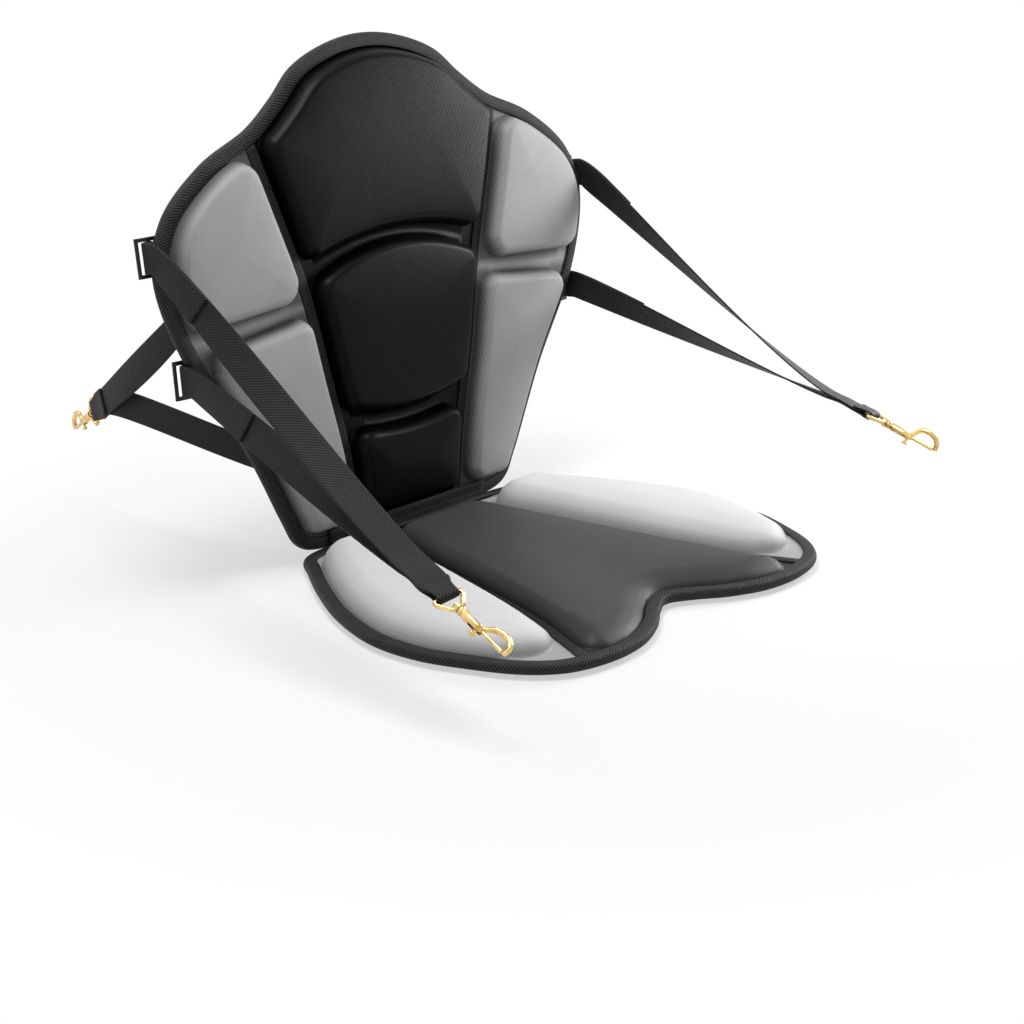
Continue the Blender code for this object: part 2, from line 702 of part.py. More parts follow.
def seat_base():
    """Base cover: its sole stands below the edge that the binding wraps."""
    outline = rim_loop(SEAT, RIM_INSET)
    plate = bmesh.new()
    corners = [plate.verts.new((point.x, point.y, BASE_SOLE)) for point in outline]
    face = plate.faces.new(corners)
    raised = bmesh.ops.extrude_face_region(plate, geom=[face])
    moved = [item for item in raised["geom"] if isinstance(item, bmesh.types.BMVert)]
    bmesh.ops.translate(plate, verts=moved, vec=(0, 0, BASE_EDGE))
    outward(plate)
    under = min(plate.faces, key=lambda item: item.calc_center_median().z)
    bmesh.ops.inset_region(plate, faces=[under], thickness=BIND_REACH - RIM_INSET + 0.002)
    bmesh.ops.inset_region(plate, faces=[under], thickness=0.003, depth=BASE_SOLE)
    for vertex in under.verts:
        vertex.co.z = 0.0
    for vertex in plate.verts:
        vertex.co = on_seat(*vertex.co)
    outward(plate)
    return finish("seat_base_cover", object_from("seat_base_cover", plate), BLACK_FABRIC)


def binding(name, rim, place, back_level, front_level):
    """U-section tape swept round a rim, then formed with it."""
    low, high = back_level - GAP - BIND_WALL, front_level + GAP + BIND_WALL
    soft = BIND_SOFT
    section = (
        (BIND_REACH, high), (soft, high), (0.0, high - soft), (0.0, low + soft), (soft, low),
        (BIND_REACH, low), (BIND_REACH, low + BIND_WALL), (BIND_WALL, low + BIND_WALL),
        (BIND_WALL, high - BIND_WALL), (BIND_REACH, high - BIND_WALL),
    )
    path = [(rim.at(share, 0.0), rim.at(share, 1.0)) for share in rim.stations(RIM_SAG)]
    path += [(flipped(point), flipped(inner)) for point, inner in reversed(path[1:-1])]
    tube = bmesh.new()
    rings = []
    for point, inner in path:
        inward = inner - point
        ring = []
        for reach, level in section:
            spot = point + inward * reach
            ring.append(tube.verts.new(place(spot.x, spot.y, level)))
        for start, end in zip(ring, ring[1:] + ring[:1]):
            tube.edges.new((start, end))
        rings.append(ring)
    for ring, following in zip(rings, rings[1:] + rings[:1]):
        edges = []
        for run in (ring, following):
            edges += [tube.edges.get(pair) for pair in zip(run, run[1:] + run[:1])]
        bmesh.ops.bridge_loops(tube, edges=edges)
    outward(tube)
    return finish(name, object_from(name, tube), BINDING_TAPE)


# Seam tapes
def seam_tape(name, rim, table, sign, level, place, start):
    """Tape over a seam, cut at its far end to the edge of the binding."""
    inner = BIND_REACH + 2 * GAP
    count = 12
    lanes = []
    for offset in (-TAPE_WIDTH / 2, TAPE_WIDTH / 2):
        end_share = rim.find(lambda point: point.x <= value_at(table, point.y) + offset, inner, 0.5)
        end = rim.at(end_share, inner).y
        lane = []
        for step in range(count + 1):
            along = start + (end - start) * step / count
            lane.append((sign * (value_at(table, along) + offset), along, level + TAPE_THICKNESS))
        lanes.append(lane)
    rows = [[lane[step] for lane in lanes] for step in range(count + 1)]
    return sheet(name, rows, place, level, BINDING_TAPE)


def fold_gusset():
    """Strip that joins the back to the seat along their fold."""
    top = SEAT_TOP + GAP + BIND_WALL + GAP
    front = BIND_FRONT + GAP
    thick = GUSSET_THICKNESS
    corner_y = on_back(0, top, front).y
    section = (
        (corner_y, top), (corner_y - GUSSET_FORWARD, top), (corner_y - GUSSET_FORWARD, top + thick),
        (corner_y - 1.8 * thick, top + thick), (corner_y - thick, top + 1.8 * thick),
        (corner_y - thick, top + GUSSET_UP), (corner_y, top + GUSSET_UP),
    )
    strip = bmesh.new()
    face = strip.faces.new([strip.verts.new((-GUSSET_HALF, y, z)) for y, z in section])
    raised = bmesh.ops.extrude_face_region(strip, geom=[face])
    moved = [item for item in raised["geom"] if isinstance(item, bmesh.types.BMVert)]
    bmesh.ops.translate(strip, verts=moved, vec=(2 * GUSSET_HALF, 0, 0))
    outward(strip)
    return finish("fold_gusset", object_from("fold_gusset", strip), BINDING_TAPE)


# Webbing
def ribbon(name, stations, finish_material=WEBBING):
    """Webbing through stations of (middle, half-width vector), given its thickness."""
    rows = len(stations)
    strip = bmesh.new()
    bmesh.ops.create_grid(strip, x_segments=1, y_segments=rows - 1, size=1)
    for vertex in strip.verts:
        row = round((vertex.co.y + 1) / 2 * (rows - 1))
        middle, half = stations[row]
        vertex.co = middle + half * (1 if vertex.co.x > 0 else -1)
    made = object_from(name, strip)
    skin = made.modifiers.new("thickness", "SOLIDIFY")
    skin.thickness = WEB_THICKNESS
    skin.offset = 0.0
    skin.use_even_offset = True
    return finish(name, made, finish_material, 0)


class EdgeFrame:
    """Directions at a side edge of the back: outward, rearward, and up along its face."""

    def __init__(self, sign, height):
        self.sign = sign
        self.up = Vector((0.0, 2 * BACK_LEAN * height, 1.0)).normalized()
        widths = [BACK.half_width(height + WEB_HALF * (step / 4 - 1)) for step in range(-3, 9)]
        widest = max(widths)
        self.over_binding = widest - min(widths[3:]) + BIND_REACH + 0.003
        self.edge = on_back(sign * widest, height, 0.0)
        self.rearward = -back_normal(height)

    def at(self, outward, rearward):
        return self.edge + Vector((self.sign * outward, 0, 0)) + self.rearward * rearward


FIRST_LAYER = BIND_BACK + GAP + WEB_THICKNESS / 2  # webbing lying on the binding
WRAP = BAR_RADIUS + GAP + WEB_THICKNESS / 2
BAR_BACK = FIRST_LAYER + WRAP


def arc_points(centre, radius, start, end, count):
    """Points on an arc in a piece's own two directions, angles in degrees."""
    points = []
    for step in range(count + 1):
        angle = math.radians(start + (end - start) * step / count)
        points.append((centre[0] + radius * math.cos(angle), centre[1] + radius * math.sin(angle)))
    return points


def buckle(name, sign, height):
    """Ladder lock: three bars between two side rails."""
    frame = EdgeFrame(sign, height)
    bars = ((FIXED_BAR, BAR_BACK), (WRAP_BAR, BAR_BACK), (OUTER_BAR, BAR_BACK + OUTER_BAR_BACK))
    half = WEB_HALF + RAIL_CLEARANCE
    outline = [
        *arc_points(bars[0], BAR_RADIUS, 270, 90, 4),
        (bars[1][0], bars[1][1] + BAR_RADIUS),
        *arc_points(bars[2], BAR_RADIUS, 90, -90, 4),
        (bars[1][0], bars[1][1] - BAR_RADIUS),
    ]
    pieces = []
    for side in (-1, 1):
        rail = bmesh.new()
        foot = frame.up * side * half
        face = rail.faces.new([rail.verts.new(frame.at(*spot) + foot) for spot in outline])
        raised = bmesh.ops.extrude_face_region(rail, geom=[face])
        moved = [item for item in raised["geom"] if isinstance(item, bmesh.types.BMVert)]
        bmesh.ops.translate(rail, verts=moved, vec=frame.up * side * RAIL_THICKNESS)
        outward(rail)
        pieces.append(object_from(name + "_rail", rail))
    for spot in bars:
        bar = bmesh.new()
        bmesh.ops.create_cone(
            bar, cap_ends=True, segments=8, radius1=BAR_RADIUS * 0.98, radius2=BAR_RADIUS * 0.98,
            depth=2 * half + RAIL_THICKNESS,
        )
        turn = frame.up.to_track_quat("Z", "Y").to_matrix().to_4x4()
        bmesh.ops.transform(bar, matrix=Matrix.Translation(frame.at(*spot)) @ turn, verts=list(bar.verts))
        pieces.append(object_from(name + "_bar", bar))
    whole = pieces[0]
    for piece in pieces[1:]:
        join(whole, piece)
    return finish(name, whole, BLACK_PLASTIC)


def join(whole, piece, operation="UNION"):
    """Adds, cuts or trims by another object, which stays as a hidden cutter."""
    step = whole.modifiers.new(operation.lower(), "BOOLEAN")
    step.operation = operation
    step.object = piece
    piece.hide_render = True
    piece.display_type = "WIRE"


def band(name, height):
    """Webbing across the rear of the back, looped round the fixed bar of a buckle at each side."""
    half = {}
    for sign in (-1, 1):
        frame = EdgeFrame(sign, height)
        on_cover = COVER_BACK + GAP + WEB_THICKNESS / 2
        over = frame.over_binding
        run = [(-over - 0.014, on_cover), (-over - 0.007, (on_cover + FIRST_LAYER) / 2)]
        run += [(-over, FIRST_LAYER), (FIXED_BAR - 0.003, FIRST_LAYER)]
        run += arc_points((FIXED_BAR, BAR_BACK), WRAP, -90, 90, 8)
        run += [(FIXED_BAR - 0.008, FIRST_LAYER + 1.4 * LAYER), (FIXED_BAR - 0.012, FIRST_LAYER + LAYER)]
        run += [(FIXED_BAR - 0.024, FIRST_LAYER + LAYER)]
        half[sign] = [(frame.at(*spot), frame.up * WEB_HALF) for spot in run]
    stations = [*reversed(half[-1]), *half[1]]
    return ribbon(name, stations)


class SnapFrame:
    """Directions at a snap: along it to its tip, along its strap bar, and off its flat."""

    def __init__(self, corner, swivelled=False):
        place = SNAP_PLACES[corner]
        self.bar = Vector(place["bar"])
        self.along = Vector(place["to"]).normalized()
        self.sign = -1 if self.bar.x < 0 else 1
        up = Vector((0, 0, 1))
        if place["flat"]:
            level = self.along.cross(up) * self.sign
            self.side = level.normalized()
            self.side = (self.side + 0.23 * up).normalized()
            self.side = (self.side - self.along * self.side.dot(self.along)).normalized()
            self.off = self.along.cross(self.side)
            if self.off.z < 0:
                self.off = -self.off
        else:
            self.side = (up - self.along * up.dot(self.along)).normalized()
            self.off = self.along.cross(self.side)
            if self.off.x * self.sign < 0:
                self.off = -self.off
        if swivelled and place["turn"]:
            turn = math.radians(place["turn"])
            side, off = self.side, self.off
            self.side = side * math.cos(turn) + off * math.sin(turn)
            self.off = off * math.cos(turn) - side * math.sin(turn)

    def at(self, along, side, off):
        return self.bar + self.along * along + self.side * side + self.off * off


EYE_WRAP = EYE_WIRE + GAP + WEB_THICKNESS / 2


def turned_half(start, end, share, tangent):
    """The half-width direction part of the way through a twist, square to the run."""
    eased = share * share * (3 - 2 * share)
    mixed = start.slerp(end, eased)
    square = (mixed - tangent * mixed.dot(tangent)).normalized()
    return start.lerp(square, min(share / STRAIGHTENED, 1.0))


def main_run(start, start_way, end, end_way, up, side, count, bend, hang):
    """Webbing from an edge of the back to a snap, twisting as it goes."""
    reach = (end - start).length
    first = start + start_way * min(bend, reach / 3)
    last = end - end_way * reach * 0.16 - Vector((0, 0, hang))
    points = []
    for step in range(count + 1):
        share = step / count
        keep = 1 - share
        points.append(
            start * keep ** 3 + first * 3 * share * keep ** 2
            + last * 3 * share ** 2 * keep + end * share ** 3
        )
    stations = []
    for index, point in enumerate(points):
        before = points[max(index - 1, 0)]
        after = points[min(index + 1, count)]
        tangent = (after - before).normalized()
        stations.append((point, turned_half(up, side, index / count, tangent), tangent))
    return stations


def snap_end(corner, looped):
    """Stations at a snap, from the stitching to the strap's end."""
    snap = SnapFrame(corner)
    full, narrow = snap.side * WEB_HALF, snap.side * LOOP_HALF
    if not looped:
        return [
            (snap.at(-STITCH_LENGTH, 0, 0), full), (snap.at(-0.016, 0, 0), full),
            (snap.at(-0.0095, 0, 0), snap.side * LOOP_HALF * 1.1),
        ]
    back = LOOP_RETURN[corner.split("_")[0]]
    stations = [
        (snap.at(-STITCH_LENGTH, 0, -LAYER), full), (snap.at(-0.016, 0, -LAYER), full),
        (snap.at(-0.009, 0, -1.25 * LAYER), snap.side * LOOP_HALF * 1.12),
        (snap.at(-0.004, 0, -EYE_WRAP), narrow),
    ]
    for along, off in arc_points((0, 0), EYE_WRAP, -90, 90, 8):
        stations.append((snap.at(along, 0, off), narrow))
    stations += [
        (snap.at(-0.004, 0, EYE_WRAP), narrow),
        (snap.at(-0.009, 0, 1.25 * LAYER), snap.side * LOOP_HALF * 1.12),
        (snap.at(-0.0135, 0, LAYER), snap.side * WEB_HALF * 0.98),
        (snap.at(-back, 0, LAYER), full),
    ]
    return stations


def front_strap(name, corner, level):
    """A front strap: tail, round the buckle's bar, forward to its snap."""
    snap = SnapFrame(corner)
    frame = EdgeFrame(snap.sign, BAND_HEIGHTS[level])
    looped = level == "lower"
    end = snap_end(corner, looped)
    beside = GAP + WEB_THICKNESS / 2 + 0.0002
    start = frame.at(beside, -0.004)
    run = main_run(start, -frame.rearward, end[0][0], snap.along, frame.up, snap.side, 14, 0.012, STRAP_SAG)
    tail = []
    length = 0.0
    for index, (point, half, tangent) in enumerate(run[1:], start=1):
        length += (point - run[index - 1][0]).length
        outward = tangent.cross(half)
        if outward.x * snap.sign < 0:
            outward = -outward
        tail.append((point + outward * LAYER, half * WEB_HALF))
        if length > TAIL_LENGTHS[level]:
            break
    wrap = [
        (beside + LAYER, -0.004), (beside + LAYER, 0.0035),
        (beside + 0.65 * LAYER, FIRST_LAYER), (-0.0012, FIRST_LAYER + 1.2 * LAYER),
        (-0.0034, FIRST_LAYER + 2.35 * LAYER),
    ]
    wrap += arc_points((WRAP_BAR, BAR_BACK), WRAP, 70, 270, 8)
    wrap += [(-0.0030, FIRST_LAYER), (-0.0004, FIRST_LAYER - 0.0002)]
    wrap += [(beside - 0.0001, 0.0050), (beside, 0.0024)]
    stations = list(reversed(tail))
    stations += [(frame.at(*spot), frame.up * WEB_HALF) for spot in wrap]
    stations += [(point, half * WEB_HALF) for point, half, tangent in run[:-1]]
    stations += end
    return ribbon(name, stations)


def rear_strap(name, corner, level):
    """A rear strap: sewn flat to the back at one end, to its snap at the other."""
    snap = SnapFrame(corner)
    looped = level == "lower"
    end = snap_end(corner, looped)
    if level == "upper":
        cross = Vector((snap.sign, 0, 0))
        over = COVER_BACK + GAP + WEB_THICKNESS / 2 + LAYER
        spots = [(REAR_UPPER_X, REAR_UPPER_TOP, over), (REAR_UPPER_X, REAR_UPPER_FOOT, over)]
        way = -EdgeFrame(snap.sign, REAR_UPPER_FOOT).up
    else:
        cross = EdgeFrame(snap.sign, REAR_LOWER_Z).up
        over = COVER_BACK + GAP + WEB_THICKNESS / 2
        spots = [(REAR_LOWER_X - REAR_SEWN, REAR_LOWER_Z, over), (REAR_LOWER_X, REAR_LOWER_Z, over)]
        way = Vector((snap.sign, 0, 0))
    sewn = [on_back(snap.sign * across, height, -back) for across, height, back in spots]
    middle = sewn[0].lerp(sewn[1], 0.5)
    run = main_run(sewn[1], way, end[0][0], snap.along, cross, snap.side, 14, 0.03, 0.0)
    stations = [(sewn[0], cross * WEB_HALF), (middle, cross * WEB_HALF)]
    stations += [(point, half * WEB_HALF) for point, half, tangent in run[:-1]]
    stations += end
    return ribbon(name, stations)


# Snaps
def wire(name, frame, points, radius, cyclic, resolution=1, taper=None):
    """A round wire through points of (along, side) in the snap's flat."""
    curve = bpy.data.curves.new(name, "CURVE")
    curve.dimensions = "3D"
    curve.bevel_depth = radius
    curve.bevel_resolution = resolution
    curve.use_fill_caps = True
    line = curve.splines.new("POLY")
    line.points.add(len(points) - 1)
    for index, (along, side) in enumerate(points):
        line.points[index].co = (*frame.at(along, side, 0.0), 1.0)
        line.points[index].radius = taper[index] if taper else 1.0
    line.use_cyclic_u = cyclic
    holder = bpy.data.objects.new(name, curve)
    cutters.objects.link(holder)
    bpy.context.view_layer.update()
    shown = holder.evaluated_get(bpy.context.evaluated_depsgraph_get())
    mesh = bpy.data.meshes.new_from_object(shown)
    welded = bmesh.new()
    welded.from_mesh(mesh)
    bmesh.ops.remove_doubles(welded, verts=list(welded.verts), dist=0.00002)
    outward(welded)
    bpy.data.objects.remove(holder, do_unlink=True)
    return object_from(name, welded)


def rod(name, frame, start, end, radius, side=0.0, segments=12, across=False):
    """A straight round bar along the snap, or across it from start to end."""
    bar = bmesh.new()
    bmesh.ops.create_cone(
        bar, cap_ends=True, segments=segments, radius1=radius, radius2=radius, depth=end - start
    )
    way = frame.side if across else frame.along
    middle = frame.at(side, (start + end) / 2, 0) if across else frame.at((start + end) / 2, side, 0)
    turn = way.to_track_quat("Z", "Y").to_matrix().to_4x4()
    bmesh.ops.transform(bar, matrix=Matrix.Translation(middle) @ turn, verts=list(bar.verts))
    return object_from(name, bar)


def snap_eye(corner):
    frame = SnapFrame(corner)
    half = EYE_HALF - EYE_WIRE
    loop = [(0.0, -half), (0.0, 0.0), (0.0, half), (0.0012, half + 0.0012)]
    loop += [(EYE_SIDE, half + 0.0012), (0.0085, half - 0.0025), (0.0125, 0.0052), (0.0135, 0.0022)]
    loop += [(along, -side) for along, side in reversed(loop[3:])]
    made = wire(corner + "_eye", frame, loop, EYE_WIRE, True)
    join(made, rod(corner + "_boss", frame, BOSS_START, BOSS_END, BOSS_RADIUS))
    hole = STUD_RADIUS + STUD_CLEARANCE
    join(made, rod(corner + "_hole", frame, BOSS_START - 0.006, BOSS_END + 0.004, hole), "DIFFERENCE")
    return finish(corner + "_eye", made, BRASS)


def snap_hook(corner):
    frame = SnapFrame(corner, True)
    half = (HOOK_TIP - BARREL_END) / 2
    bow = [(BARREL_END - 0.0045, 0.0016), (BARREL_END - 0.0015, 0.0026)]
    for step in range(9):
        angle = math.radians(20 + 20 * step)
        bow.append((HOOK_TIP - half - half * math.cos(angle), HOOK_BOW * math.sin(angle) ** 0.8))
    taper = [0.8, 0.95, 1.0, 1.05, 1.15, 1.2, 1.2, 1.15, 1.05, 1.0, 0.95]
    made = rod(corner + "_barrel", frame, BARREL_START, BARREL_END, BARREL_RADIUS, segments=16)
    join(made, wire(corner + "_bow", frame, bow, HOOK_WIRE, False, 2, taper))
    join(made, rod(corner + "_stud", frame, BOSS_START - RIVET_LENGTH, BARREL_START + 0.002, STUD_RADIUS))
    rivet_end = BOSS_START - GAP
    join(made, rod(corner + "_rivet", frame, rivet_end - RIVET_LENGTH, rivet_end, RIVET_RADIUS))
    bore = BOLT_RADIUS + BOLT_CLEARANCE
    join(made, rod(corner + "_bore", frame, BORE_START, BARREL_END + 0.004, bore), "DIFFERENCE")
    slot_start = KNOB_AT - BOLT_TRAVEL - KNOB_POST - BOLT_CLEARANCE
    slot = bmesh.new()
    bmesh.ops.create_cube(slot, size=1)
    length = BARREL_END + 0.004 - slot_start
    bmesh.ops.scale(slot, vec=(SLOT_WIDTH, 0.008, length), verts=list(slot.verts))
    turned = Matrix((frame.off, frame.side, frame.along)).transposed().to_4x4()
    middle = frame.at(slot_start + length / 2, -0.004, 0)
    bmesh.ops.transform(slot, matrix=Matrix.Translation(middle) @ turned, verts=list(slot.verts))
    outward(slot)
    join(made, object_from(corner + "_slot", slot), "DIFFERENCE")
    return finish(corner + "_hook", made, BRASS)


def snap_bolt(corner):
    frame = SnapFrame(corner, True)
    nose = HOOK_TIP - HOOK_WIRE
    made = rod(corner + "_bolt", frame, BOLT_REAR, nose - GAP, BOLT_RADIUS, segments=10)
    join(made, rod(corner + "_post", frame, -KNOB_REACH + 0.001, 0.0, KNOB_POST, KNOB_AT, 8, True))
    join(made, rod(corner + "_knob", frame, -KNOB_REACH, -KNOB_REACH + 0.0024, KNOB_RADIUS, KNOB_AT, 10, True))
    return finish(corner + "_bolt", made, BRASS)


def snap_spring(corner):
    frame = SnapFrame(corner, True)
    start, end = BORE_START + GAP + SPRING_WIRE, BOLT_REAR - GAP - SPRING_WIRE
    curve = bpy.data.curves.new(corner + "_spring", "CURVE")
    curve.dimensions = "3D"
    curve.bevel_depth = SPRING_WIRE
    curve.bevel_resolution = 0
    curve.use_fill_caps = True
    line = curve.splines.new("POLY")
    steps = SPRING_TURNS * SPRING_SIDES
    line.points.add(steps)
    for step in range(steps + 1):
        angle = 2 * math.pi * step / SPRING_SIDES
        along = start + (end - start) * step / steps
        side, off = SPRING_RADIUS * math.cos(angle), SPRING_RADIUS * math.sin(angle)
        line.points[step].co = (*frame.at(along, side, off), 1.0)
    holder = bpy.data.objects.new(corner + "_coil", curve)
    cutters.objects.link(holder)
    bpy.context.view_layer.update()
    shown = holder.evaluated_get(bpy.context.evaluated_depsgraph_get())
    mesh = bpy.data.meshes.new_from_object(shown)
    welded = bmesh.new()
    welded.from_mesh(mesh)
    bmesh.ops.remove_doubles(welded, verts=list(welded.verts), dist=0.00001)
    outward(welded)
    bpy.data.objects.remove(holder, do_unlink=True)
    return finish(corner + "_spring", object_from(corner + "_spring", welded), SPRING_STEEL)


# Build
back_centre_panel()
back_side_panel("back_left_panel", -1)
back_side_panel("back_right_panel", 1)
tape_level = FLANGE + GAP
tape_foot = BACK.at(0, BIND_REACH + 2 * GAP).y
seam_tape("back_left_seam_tape", BACK, BACK_SEAM, -1, tape_level, on_back, tape_foot)
seam_tape("back_right_seam_tape", BACK, BACK_SEAM, 1, tape_level, on_back, tape_foot)
back_sheet("back_stiffener", STIFFENER_INSET, -GAP, -GAP - STIFFENER, SHEET_PLASTIC)
back_sheet("back_rear_cover", RIM_INSET, -COVER_BACK + REAR_COVER, -COVER_BACK, BLACK_FABRIC)
binding("back_binding", BACK, on_back, -COVER_BACK, FLANGE)
seat_base()
seat_centre_panel()
seat_side_panel("seat_left_panel", -1)
seat_side_panel("seat_right_panel", 1)
seat_tape_rear = SEAT.at(0, BIND_REACH + 2 * GAP).y
for word, side in (("left", -1), ("right", 1)):
    seam_tape(
        "seat_%s_seam_tape" % word, SEAT, SEAT_SEAM, side, SEAT_TOP + GAP, on_seat, seat_tape_rear
    )
binding("seat_binding", SEAT, on_seat, BASE_SOLE, SEAT_TOP)
fold_gusset()
for level, height in BAND_HEIGHTS.items():
    band(level + "_back_band", height)
    for word, side in (("left", -1), ("right", 1)):
        buckle("%s_%s_buckle" % (level, word), side, height)
for corner in SNAP_PLACES:
    for level in ("upper", "lower"):
        make = front_strap if corner.startswith("front") else rear_strap
        make("%s_%s_strap" % (corner, level), corner, level)
    snap_eye(corner)
    snap_hook(corner)
    snap_bolt(corner)
    snap_spring(corner)
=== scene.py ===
import bpy, bmesh, math, json
import numpy as np
from mathutils import Vector, Matrix

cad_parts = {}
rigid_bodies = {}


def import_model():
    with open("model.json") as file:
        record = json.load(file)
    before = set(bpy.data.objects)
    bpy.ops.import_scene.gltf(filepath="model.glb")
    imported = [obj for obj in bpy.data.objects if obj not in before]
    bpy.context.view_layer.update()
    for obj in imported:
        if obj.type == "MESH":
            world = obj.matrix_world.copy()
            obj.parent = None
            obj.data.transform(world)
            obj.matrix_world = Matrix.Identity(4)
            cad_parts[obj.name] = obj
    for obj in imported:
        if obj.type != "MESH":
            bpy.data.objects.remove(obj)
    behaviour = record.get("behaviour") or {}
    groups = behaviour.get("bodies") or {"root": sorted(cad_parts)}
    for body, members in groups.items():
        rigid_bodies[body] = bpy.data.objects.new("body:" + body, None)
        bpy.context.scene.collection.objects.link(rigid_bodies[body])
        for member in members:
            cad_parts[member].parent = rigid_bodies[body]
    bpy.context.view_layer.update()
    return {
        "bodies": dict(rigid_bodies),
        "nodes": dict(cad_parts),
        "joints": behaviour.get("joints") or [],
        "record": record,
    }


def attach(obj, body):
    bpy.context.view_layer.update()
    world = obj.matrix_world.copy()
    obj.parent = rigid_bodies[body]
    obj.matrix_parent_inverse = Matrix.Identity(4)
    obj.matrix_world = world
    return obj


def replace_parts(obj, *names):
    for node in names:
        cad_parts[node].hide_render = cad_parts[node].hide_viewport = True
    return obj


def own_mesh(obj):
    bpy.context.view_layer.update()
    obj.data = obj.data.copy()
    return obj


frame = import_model()
scene = bpy.context.scene
scene.view_settings.view_transform = "Standard"
print("frame loaded")


def newObject(name, data):
    made = bpy.data.objects.new(name, data)
    scene.collection.objects.link(made)
    return made


# camera at the photograph's viewing angle, degrees and metres
cameraPlace = {"place": (-1.358, -1.177, 0.671), "azimuth": -47.97, "elevation": 18.89, "focal": 77.34}
camData = bpy.data.cameras.new("camera")
cam = newObject("camera", camData)
cam.location = cameraPlace["place"]
cam.rotation_euler = (math.radians(90 - cameraPlace["elevation"]), 0, math.radians(cameraPlace["azimuth"]))
camData.lens = cameraPlace["focal"]
camData.sensor_width = 36
camData.clip_start = 0.02
scene.camera = cam

# the seat's own pattern in metres, the same sizes as the solids have
gap = 0.0003
layers = {
    "flange": 0.0025, "stiffener": 0.0012, "cover": 0.0020, "bindWall": 0.0016, "bindReach": 0.0120,
    "sole": 0.0050, "baseEdge": 0.0020, "edgeRoom": 0.0015, "padToBinding": 0.0015,
    "tapeWidth": 0.0110, "tapeThick": 0.0012, "padToTape": 0.0010, "sidePadToTape": 0.0025,
    "webWidth": 0.0254, "webThick": 0.0015, "foldY": 0.18, "lean": 0.23,
}
rimInset = layers["bindWall"] + layers["edgeRoom"]
padInset = layers["bindReach"] + layers["padToBinding"]
coverBack = 2 * gap + layers["stiffener"] + layers["cover"]
bindFront = layers["flange"] + gap + layers["bindWall"]
bindBack = coverBack + gap + layers["bindWall"]
seatBottom = layers["sole"] + layers["baseEdge"] + gap
seatTop = seatBottom + layers["flange"]
webHalf = layers["webWidth"] / 2
webStep = layers["webThick"] + gap
middleMargin = layers["tapeWidth"] / 2 + layers["padToTape"]
sideMargin = layers["tapeWidth"] / 2 + layers["sidePadToTape"]
seamGap = 0.0009

backRim = ((0.0, 0.008), (0.06, 0.008), (0.108, 0.008), (0.134, 0.017), (0.150, 0.044),
           (0.188, 0.120), (0.240, 0.200), (0.2625, 0.270), (0.247, 0.320), (0.200, 0.3575),
           (0.147, 0.380), (0.114, 0.402), (0.084, 0.426), (0.042, 0.441), (0.0, 0.446))
seatRim = ((0.0, 0.0065), (0.06, 0.0065), (0.112, 0.0065), (0.140, 0.0145), (0.156, 0.036),
           (0.184, 0.078), (0.212, 0.130), (0.2295, 0.185), (0.2285, 0.235), (0.213, 0.280),
           (0.193, 0.318), (0.165, 0.343), (0.125, 0.3535), (0.085, 0.351), (0.050, 0.337),
           (0.022, 0.318), (0.0, 0.308))


def farAlong(points):
    # metres from the first point to each
    return np.concatenate([[0], np.cumsum(np.linalg.norm(np.diff(points, axis=0), axis=1))])


def smoothRun(points, steps):
    # a smooth open curve through evenly laid points
    p = [np.array(q, float) for q in points]
    p = [2 * p[0] - p[1]] + p + [2 * p[-1] - p[-2]]
    run = []
    for a, b, c, d in zip(p, p[1:], p[2:], p[3:]):
        for k in range(steps):
            t = k / steps
            run.append(0.5 * (2 * b + (c - a) * t + (2 * a - 5 * b + 4 * c - d) * t * t
                              + (3 * b - a - 3 * c + d) * t ** 3))
    return np.array(run + [p[-2]])


# seams between the middle and the sides: distance along, half width
backSeam = smoothRun(((0.0, 0.064), (0.08, 0.072), (0.16, 0.090), (0.24, 0.107), (0.32, 0.1325),
                      (0.40, 0.158)), 12)
seatSeam = smoothRun(((0.0, 0.050), (0.08, 0.070), (0.17, 0.090), (0.25, 0.110), (0.31, 0.1325),
                      (0.37, 0.160)), 12)


def seamHalf(seam, along):
    return np.interp(along, seam[:, 0], seam[:, 1])


class Rim:
    # right half of an outline, foot to head, evenly spaced
    def __init__(self, points, count=901):
        full = [(-points[1][0], points[1][1])] + list(points) + [(-points[-2][0], points[-2][1])]
        run = smoothRun(full, 24)[24:-24]
        far = farAlong(run)
        want = np.linspace(0, far[-1], count)
        self.points = np.stack([np.interp(want, far, run[:, k]) for k in range(2)], 1)
        self.length = far[-1]
        way = np.gradient(self.points, axis=0)
        way[0], way[-1] = (1, 0), (-1, 0)
        way /= np.linalg.norm(way, axis=1)[:, None]
        self.normals = np.stack([-way[:, 1], way[:, 0]], 1)

    def at(self, share, inset=0.0):
        place = np.clip(share, 0, 1) * (len(self.points) - 1)
        keys = np.arange(len(self.points))
        p = np.stack([np.interp(place, keys, self.points[:, k]) for k in range(2)], -1)
        n = np.stack([np.interp(place, keys, self.normals[:, k]) for k in range(2)], -1)
        return p + n / np.linalg.norm(n, axis=-1, keepdims=True) * inset

    def find(self, test, inset, start=0.0):
        # first share of the outline where the test on x and along holds
        shares = np.linspace(start, 1, 2401)
        p = self.at(shares, inset)
        held = np.where(test(p[:, 0], p[:, 1]))[0]
        return shares[held[0]] if len(held) else 1.0

    def halfWidth(self, height):
        x, z = self.points[:, 0], self.points[:, 1]
        cross = np.where((z[:-1] - height) * (z[1:] - height) <= 0)[0]
        return max([x[k] for k in cross], default=0.0)


backLine, seatLine = Rim(backRim), Rim(seatRim)


